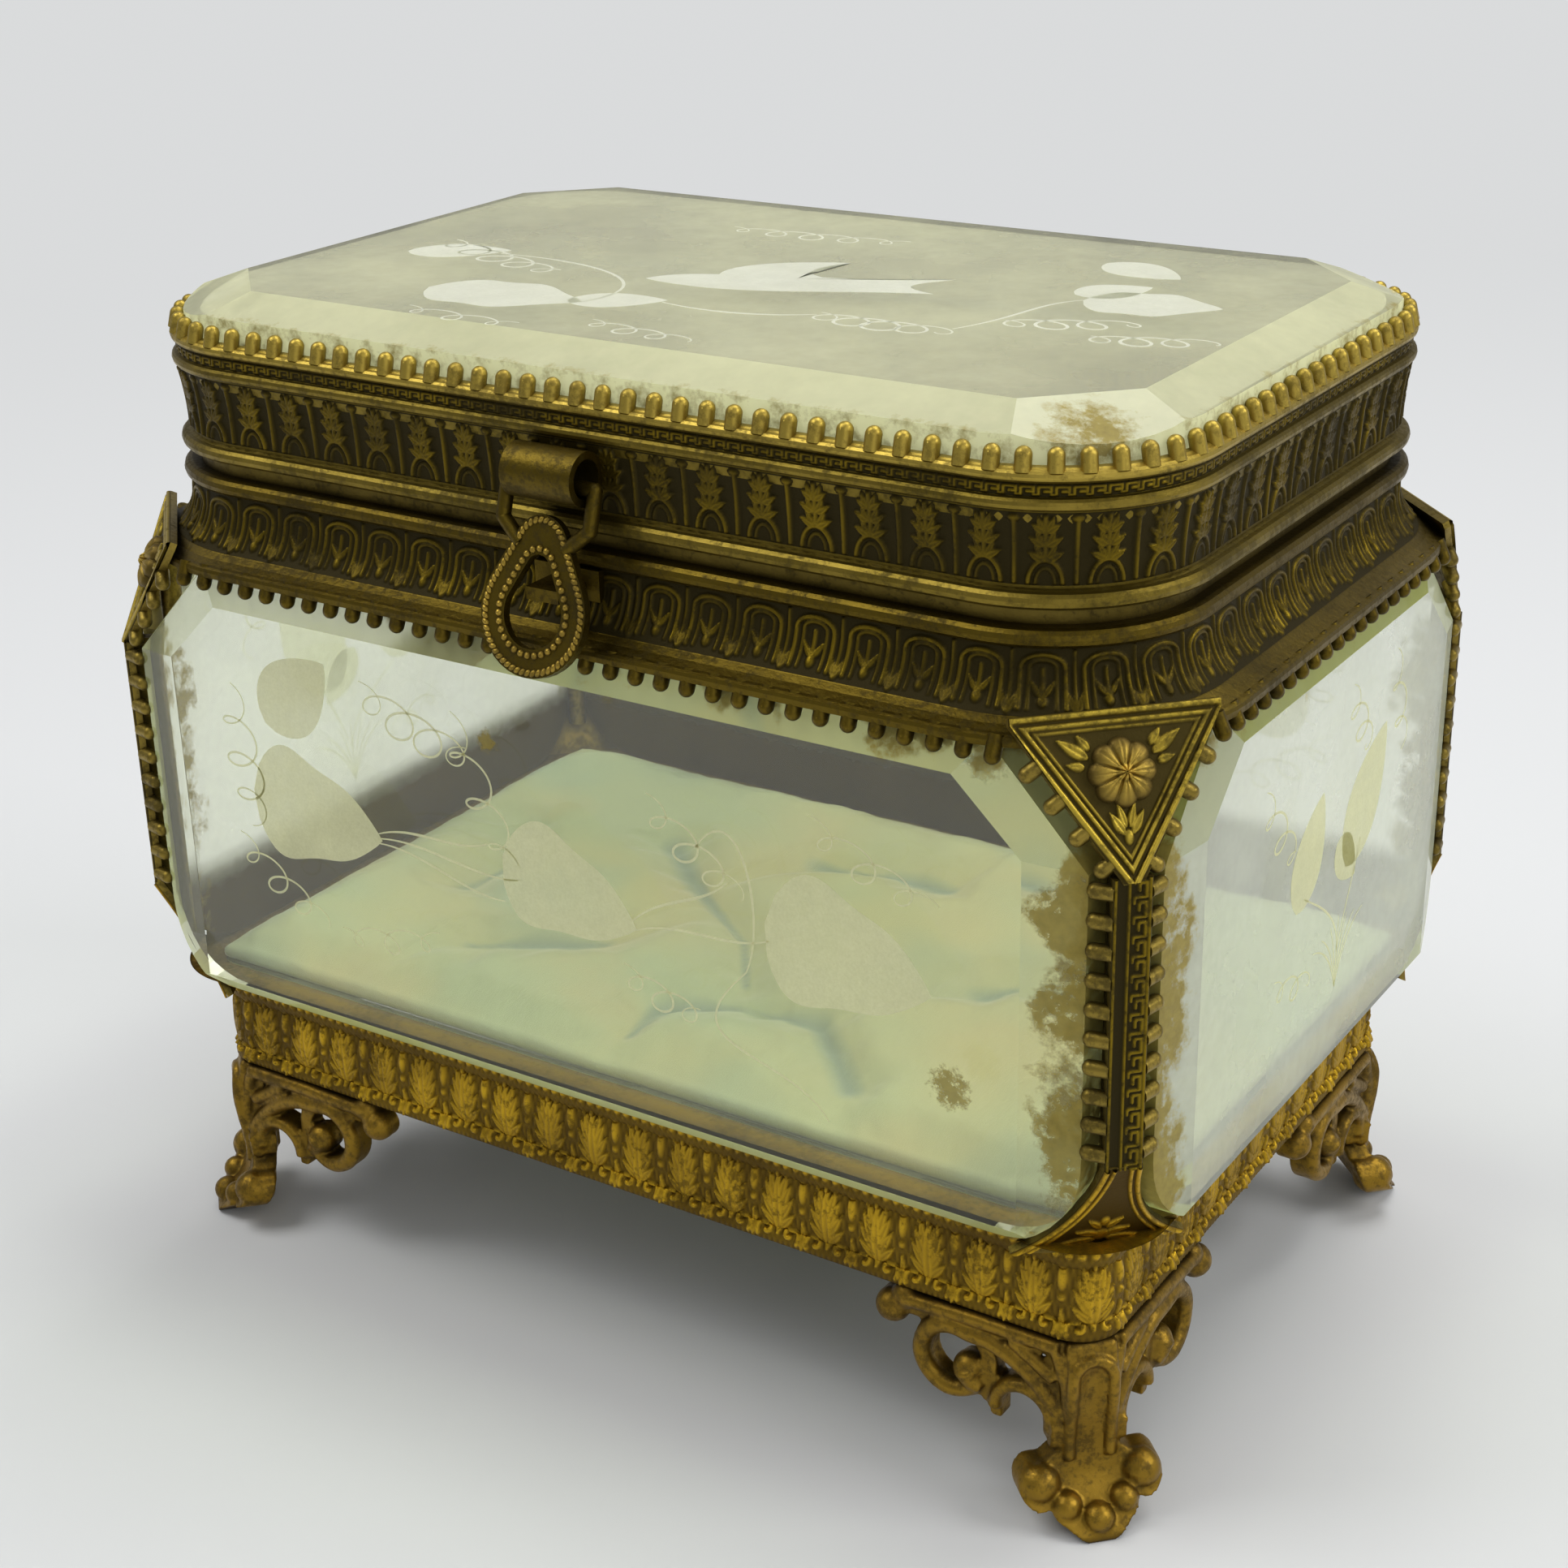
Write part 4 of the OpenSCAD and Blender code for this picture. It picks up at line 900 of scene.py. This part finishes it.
def cast_foot(name, sx, sy, material):
    """The foot's solid with its cast bars, border, knuckles and lobes, blended into one skin."""
    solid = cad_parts[name].data
    parts = [(np.array([v.co for v in solid.vertices]) / MM, [list(p.vertices) for p in solid.polygons])]
    corner = np.array([sx * BODY_HW, CENTRE_Y + sy * BODY_HD, 0])
    out = np.array([sx, sy, 0]) / math.sqrt(2)
    across = np.array([-sy, sx, 0]) / math.sqrt(2)

    def placed(points):
        p = np.atleast_2d(points)
        return corner + p[:, :1] * out + p[:, 1:2] * across + p[:, 2:] * [0, 0, 1]

    for path, radius in wing_forms():
        run, high, off = np.asarray(path).T
        for spot in ((BASE_HW - run, BASE_HD + off), (BASE_HW + off, BASE_HD - run)):
            place = np.stack([sx * spot[0], CENTRE_Y + sy * spot[1], high], -1)
            parts.append(tube(place, radius))
    for run, high, radius in [(15.2, 14.4, 2.0), (24.9, 19.2, 2.1), (23.2, 21.0, 1.7)]:
        for x, y in ((run, 0.2), (0.2, run)):
            parts.append(ball([sx * (BASE_HW - x), CENTRE_Y + sy * (BASE_HD - y), high], radius))

    front = bezier([(-11.6, 21.9), (-9.6, 16.9), (-12.2, 11.9), (-11.6, 8)], 40)
    rise = np.linspace(7.6, 18.0, 14)
    border = np.concatenate([np.stack([0 * rise - 2.3, rise], -1), arc((0, 18.0), 2.3, 180, 0, 12)[1:-1],
                             np.stack([0 * rise + 2.3, rise[::-1]], -1)])
    depth = np.interp(border[:, 1], front[::-1, 1], front[::-1, 0])
    parts.append(tube(placed(np.column_stack([depth + 0.1, border])), 0.72))
    for side in (-1, 1):
        for high in (9.4, 11.5):
            parts.append(tube(placed([(-12.6, side * 2.4, high), (-12.6, side * 4.3, high + 0.1)]), 0.85))
        for spot, radius in [((-11.3, side * 5.7, 5.3), 2.35), ((-9.2, side * 3.2, 3.3), 1.65)]:
            parts.append(ball(placed(spot)[0], radius))
    parts.append(ball(placed((-7.9, 0, 2.2))[0], 1.75))
    parts.append(tube(placed([(-12.2, -2.4, 21.3), (-12.2, 2.4, 21.3)]), 1.0))

    verts, faces = [], []
    for points, polygons in parts:
        faces += [[k + len(verts) for k in polygon] for polygon in polygons]
        verts.extend(points)
    foot = new_mesh(f"cast_{name}", verts, faces, material)
    skin = foot.modifiers.new("skin", "REMESH")
    skin.mode = "VOXEL"
    skin.voxel_size = FOOT_VOXEL * MM
    skin.use_smooth_shade = True
    soften = foot.modifiers.new("soften", "SMOOTH")
    soften.factor = 0.5
    soften.iterations = 5
    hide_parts(name)
    return ride_with(foot, "body")


# ---- Hasp ornament ----


def pear_path(top, top_r, low, low_r, count):
    """Points round the outline of the hasp or of its eye, in its own plane."""
    lean = math.asin((low_r - top_r) / (top - low))
    a = np.linspace(-math.pi - lean, lean, 60)
    b = np.linspace(lean, math.pi - lean, 30)
    path = np.vstack([np.stack([low_r * np.cos(a), low + low_r * np.sin(a)], -1),
                      np.stack([top_r * np.cos(b), top + top_r * np.sin(b)], -1)])
    path = np.vstack([path, path[:1]])
    at = np.concatenate([[0], np.cumsum(np.hypot(*np.diff(path, axis=0).T))])
    s = np.arange(count) / count * at[-1]
    return np.stack([np.interp(s, at, path[:, 0]), np.interp(s, at, path[:, 1])], -1)


def studs(name, centres, normal, alongs, stretch, radius, material):
    """Small domes in one mesh, facing along normal, each stretched along its own direction."""
    rings, spokes = 5, 10
    a = np.linspace(0, math.pi / 2, rings)[:, None]
    b = (np.arange(spokes) / spokes * 2 * math.pi)[None, :]
    flat = np.stack([np.cos(a) * np.cos(b), np.cos(a) * np.sin(b), np.sin(a) + 0 * b], -1).reshape(-1, 3)
    up = Vector(normal).normalized()
    verts, faces = [], []
    for centre, along in zip(centres, alongs):
        side = (along - up * along.dot(up)).normalized()
        faces.extend((grid_faces(rings, spokes, closed=True) + len(verts)).tolist())
        verts.extend(centre + (flat * radius) @ np.array([side * stretch, up.cross(side), up]))
    ride_with(new_mesh(name, verts, faces, material, np.ones(len(verts))), "hasp")


EYE_LOW = -13.6  # middle of the hasp's round end, below the bail
ROPE_LEAN = 0.8


def hasp_ornament(material):
    """Beads round the eye of the hasp and a rope along its rim."""
    bail = np.array([0, CENTRE_Y - (FRAME_HD + BAIL_OUT), LID_Z + BAIL_UP])
    a = math.radians(HASP_LEAN)
    front = np.array([0, -math.cos(a), math.sin(a)])
    down = np.array([0, math.sin(a), math.cos(a)])
    for name, top, top_r, low_r, count, radius, stretch in [("hasp_beads", -8.9, 2.1, 4.35, 34, 0.42, 1.0),
                                                            ("hasp_rope", -6.7, 2.9, 6.15, 64, 0.34, 1.5)]:
        ring = pear_path(top, top_r, EYE_LOW, low_r, count)
        alongs = [Vector((1, 0, 0))] * count
        if stretch > 1:  # the strands of the rope lie askew
            alongs = [Vector((x - z * ROPE_LEAN, 0, z + x * ROPE_LEAN)) for x, z in np.roll(ring, -1, axis=0) - ring]
        centres = [bail + [p[0], 0, 0] + down * p[1] + front * 0.42 for p in ring]
        studs(name, centres, front, alongs, stretch, radius, material)


# ---- Stage and light ----

PAPER = (0.69, 0.695, 0.695)
BACKDROP = (0.70, 0.71, 0.715)
SKY = (0.93, 0.96, 1.0)
SKY_POWER = 0.32
FLOOR_HALF = 3000
AIM = (0, 0, 0.06)
LAMPS = [("key", (-0.6, -0.35, 1.1), 0.7, 6.5), ("fill", (0.9, -0.8, 0.7), 0.9, 2.6),
         ("side", (1.05, 0.3, 0.75), 0.6, 6.0), ("top", (0.1, 0.5, 1.2), 0.8, 8.0)]


def seen_directly(n):
    """1 for rays from the camera and those that passed the glass."""
    rays = n.add("LightPath").outputs
    return n.maths("MAXIMUM", rays["Is Camera Ray"], rays["Is Transmission Ray"])


def stage_set():
    """Pale floor that fades into an even backdrop, a dim world and four lamps."""
    n = material_nodes("paper")
    away = n.add("VectorMath", {0: n.place()}, operation="LENGTH").outputs["Value"]
    fade = n.ramp(away, (0.12, 0.0), (0.62, 1.0))
    paper = n.shader("BsdfDiffuse", {"Color": PAPER})
    even = n.shader("Emission", {"Color": BACKDROP, "Strength": 1.0})
    material = n.finish(n.layer(n.times(fade, seen_directly(n)), paper, even))
    floor = new_mesh("floor", [(x * FLOOR_HALF, y * FLOOR_HALF, 0) for x, y in [(-1, -1), (1, -1), (1, 1), (-1, 1)]],
                     [(0, 1, 2, 3)], material)

    n = Nodes(bpy.data.worlds.new("studio"))
    light = n.shader("Background", {"Color": SKY, "Strength": SKY_POWER})
    back = n.shader("Background", {"Color": BACKDROP, "Strength": 1.0})
    n.add("OutputWorld", {"Surface": n.layer(seen_directly(n), light, back)})
    SCENE.world = n.owner

    for name, place, size, power in LAMPS:
        data = bpy.data.lights.new(name, "AREA")
        data.size = size
        data.energy = power
        lamp = add_object(name, data)
        lamp.location = place
        lamp.rotation_mode = "QUATERNION"
        lamp.rotation_quaternion = (Vector(AIM) - Vector(place)).to_track_quat("-Z", "Y")


# ---- Dress the frame ----

SCENE.view_settings.view_transform = "Standard"
make_camera()
stage_set()

old_gilt = gilt_material("old_gilt", (0.30, 0.215, 0.04), BROWN, shade_and_dirt=0.65)
old_relief = gilt_material("old_relief", (0.23, 0.155, 0.010), (0.06, 0.042, 0.005), relief=True, shade_and_dirt=0.7)
gold = gilt_material("gold", (0.42, 0.28, 0.045), (0.15, 0.10, 0.018))
gold_relief = gilt_material("gold_relief", (0.60, 0.37, 0.022), (0.24, 0.14, 0.012), WARM_GRIME_AND_SHADE, relief=True,
                            shade_and_dirt=0.75, worn_from=0.35)
foot_gilt = gilt_material("foot_gilt", (0.31, 0.185, 0.022), (0.09, 0.054, 0.012), (0.03, 0.022, 0.008), shade_and_dirt=0.65)
rosette_gilt = gilt_material("rosette_gilt", (0.60, 0.41, 0.07), (0.18, 0.12, 0.025), relief=True, shade_and_dirt=0.6)
hasp_gilt = gilt_material("hasp_gilt", (0.13, 0.088, 0.010), (0.045, 0.03, 0.004), shade_and_dirt=0.6)
# The lid frame also brightens above a height near its top: a painted highlight.
lid_gilt = gilt_material("lid_gilt", (0.43, 0.31, 0.055), (0.14, 0.10, 0.014), shade_and_dirt=0.55,
                         lit_above=LID_Z + LID_SIDE_H - 1.3)
plate_gilt = gilt_material("plate_gilt", (0.46, 0.33, 0.04), (0.16, 0.11, 0.014), relief=True, shade_and_dirt=0.7,
                           worn_from=0.4)

TINT = (0.965, 0.98, 0.93)
HAZE = (0.66, 0.68, 0.44)
front_stains = [(48.5, CENTRE_Y - BODY_HD, 53.5, 6.0), (-9, CENTRE_Y - BODY_HD, 79.5, 3.5)]
half_x, half_y = BODY_HW - 6.9, BODY_HD - 6.9
# The third value of each wall's mask sets the painted reflection of the brass band along its foot; the back and left
# walls get it.
PANES = {
    "front": (TINT, HAZE, 0.03, "Y", panel_crust_and_reflection("X", half_x, 0.0, front_stains)),
    "right": (TINT, (0.78, 0.80, 0.71), 0.33, "X", panel_crust_and_reflection("Y", half_y, 0.0), 0.6, (0.40, 0.42, 0.13)),
    "back": (TINT, HAZE, 0.05, "Y", panel_crust_and_reflection("X", half_x, 1.0), 0.2),
    "left": (TINT, (0.95, 0.96, 0.91), 0.42, "X", panel_crust_and_reflection("Y", half_y, 1.0), 0.2),
    "lid": ((0.95, 0.96, 0.90), (0.76, 0.75, 0.54), 0.36, "Z", lid_grime, 0.55, (0.80, 0.80, 0.52)),
    "bottom": (TINT, HAZE, 0.3, "Z")}
glass = {f"{side}_glass": glass_material(f"{side}_pane", *look) for side, look in PANES.items()}

for node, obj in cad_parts.items():
    if node in glass:
        material = glass[node]
    elif node.startswith("foot_"):
        material = foot_gilt
    elif node.startswith("hasp") or node in ("clasp_tube", "catch", "collar"):
        material = hasp_gilt
    elif node == "lid_frame":
        material = lid_gilt
    elif node.startswith(("post_", "hinge_", "lid_leaf", "pin_")) or node in ("collar_liner", "lid_ledge"):
        material = old_gilt
    else:
        material = gold
    obj.data.materials.clear()
    obj.data.materials.append(material)

lid_ring = (FRAME_HW, FRAME_HD, FRAME_R)
lid_rise = bezier([(-1.1, 2.3), (-1.1, 5), (-0.9, 8), (-0.4, LID_SIDE_H - 4.3)], 20)
lid_profile = [(x, LID_Z + z) for x, z in lid_rise]
relief_band("lid_leaves", lid_ring, lid_profile, acanthus, 6.2, 0.55, old_relief, "lid")
key_low = LID_Z + LID_SIDE_H - 2.75
relief_band("lid_key", lid_ring, [(-0.45, key_low), (-0.45, key_low + 1.2)], greek_key, 1.7, 0.22, old_relief,
            "lid", fine=0.09)
flare = bezier([(3.8, 0.2), (1.4, 0.9), (0, 2.6), (-0.6, 5)], 24)[7:]
collar_profile = [(x, COLLAR_Z + z) for x, z in [*flare, (-0.8, 7.1)]]
relief_band("collar_arches", lid_ring, collar_profile, arcade, 6.2, 0.42, old_relief, "body")
base_ring = (BASE_HW, BASE_HD, BASE_R)
base_middle = bezier([(-0.05, 2.5), (0.5, 4.5), (0.4, 7), (-0.1, 9.3)], 16)
base_profile = [(x, FOOT_Z + z) for x, z in [(0.55, 0.5), (0.68, 1.2), (0.45, 1.9), *base_middle,
                                             (0.35, 9.8), (0.55, 10.5), (0.35, 11.2), (0.3, 12.0)]]
relief_band("base_palmettes", base_ring, base_profile, palmette, 6.4, 0.7, gold_relief, "body", fine=0.15)
cove = [(x, FOOT_Z + z) for x, z in bezier([(0.3, 12.2), (0.6, 13.8), (2.6, 14.5), (5.3, 14.6)], 16)]
relief_band("base_flutes", base_ring, cove, petals, 2.4, 0.25, gold_relief, "body", fine=0.2)

STRIP_HALF = POST_W / 2 - 0.02
for sx, sy, corner in [(-1, -1, "front_left"), (1, -1, "front_right"), (-1, 1, "back_left"), (1, 1, "back_right")]:
    relief_plate(f"strip_{corner}", sx, sy, 0, 0, lambda v: 0 * v + STRIP_HALF, POST_LOW, POST_TOP, strip_pattern,
                 0.28, old_relief)
    relief_plate(f"spandrel_{corner}", sx, sy, POST_TOP, UPPER_LEAN, upper_half, -0.5, UPPER_H, upper_pattern,
                 0.4, plate_gilt)
    relief_plate(f"toe_plate_{corner}", sx, sy, POST_LOW, -LOWER_LEAN, lower_half, -LOWER_H + 0.9, 0.2,
                 lower_pattern, 0.4, gold_relief)
    rose = rosette_mesh(f"rose_{corner}", sx, sy, rosette_gilt)
    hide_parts(f"rosette_{corner}")
    cast_foot(f"foot_{corner}", sx, sy, foot_gilt)

hasp_ornament(gold)
silk_pad(silk_material())

frosted = engraving_material("frosted_cut", (0.76, 0.74, 0.47), (0.88, 0.86, 0.60))
white_cut = engraving_material("white_cut", (0.80, 0.81, 0.72), (0.90, 0.90, 0.83))
front_y, back_y = CENTRE_Y - BODY_HD - CUT_LIFT, CENTRE_Y + BODY_HD + CUT_LIFT
side_x = BODY_HW + CUT_LIFT
engraving("front_cut", lambda u, v: (u, front_y, v), *front_drawing(), "body", frosted)
engraving("back_cut", lambda u, v: (-u, back_y, v), *front_drawing(), "body", frosted)
engraving("right_cut", lambda u, v: (side_x, CENTRE_Y + u, v), *side_drawing(), "body", frosted)
engraving("left_cut", lambda u, v: (-side_x, CENTRE_Y - u, v), *side_drawing(), "body", frosted)
engraving("lid_cut", lambda u, v: (u, CENTRE_Y + v, LID_TOP + CUT_LIFT), *lid_drawing(), "lid", white_cut)
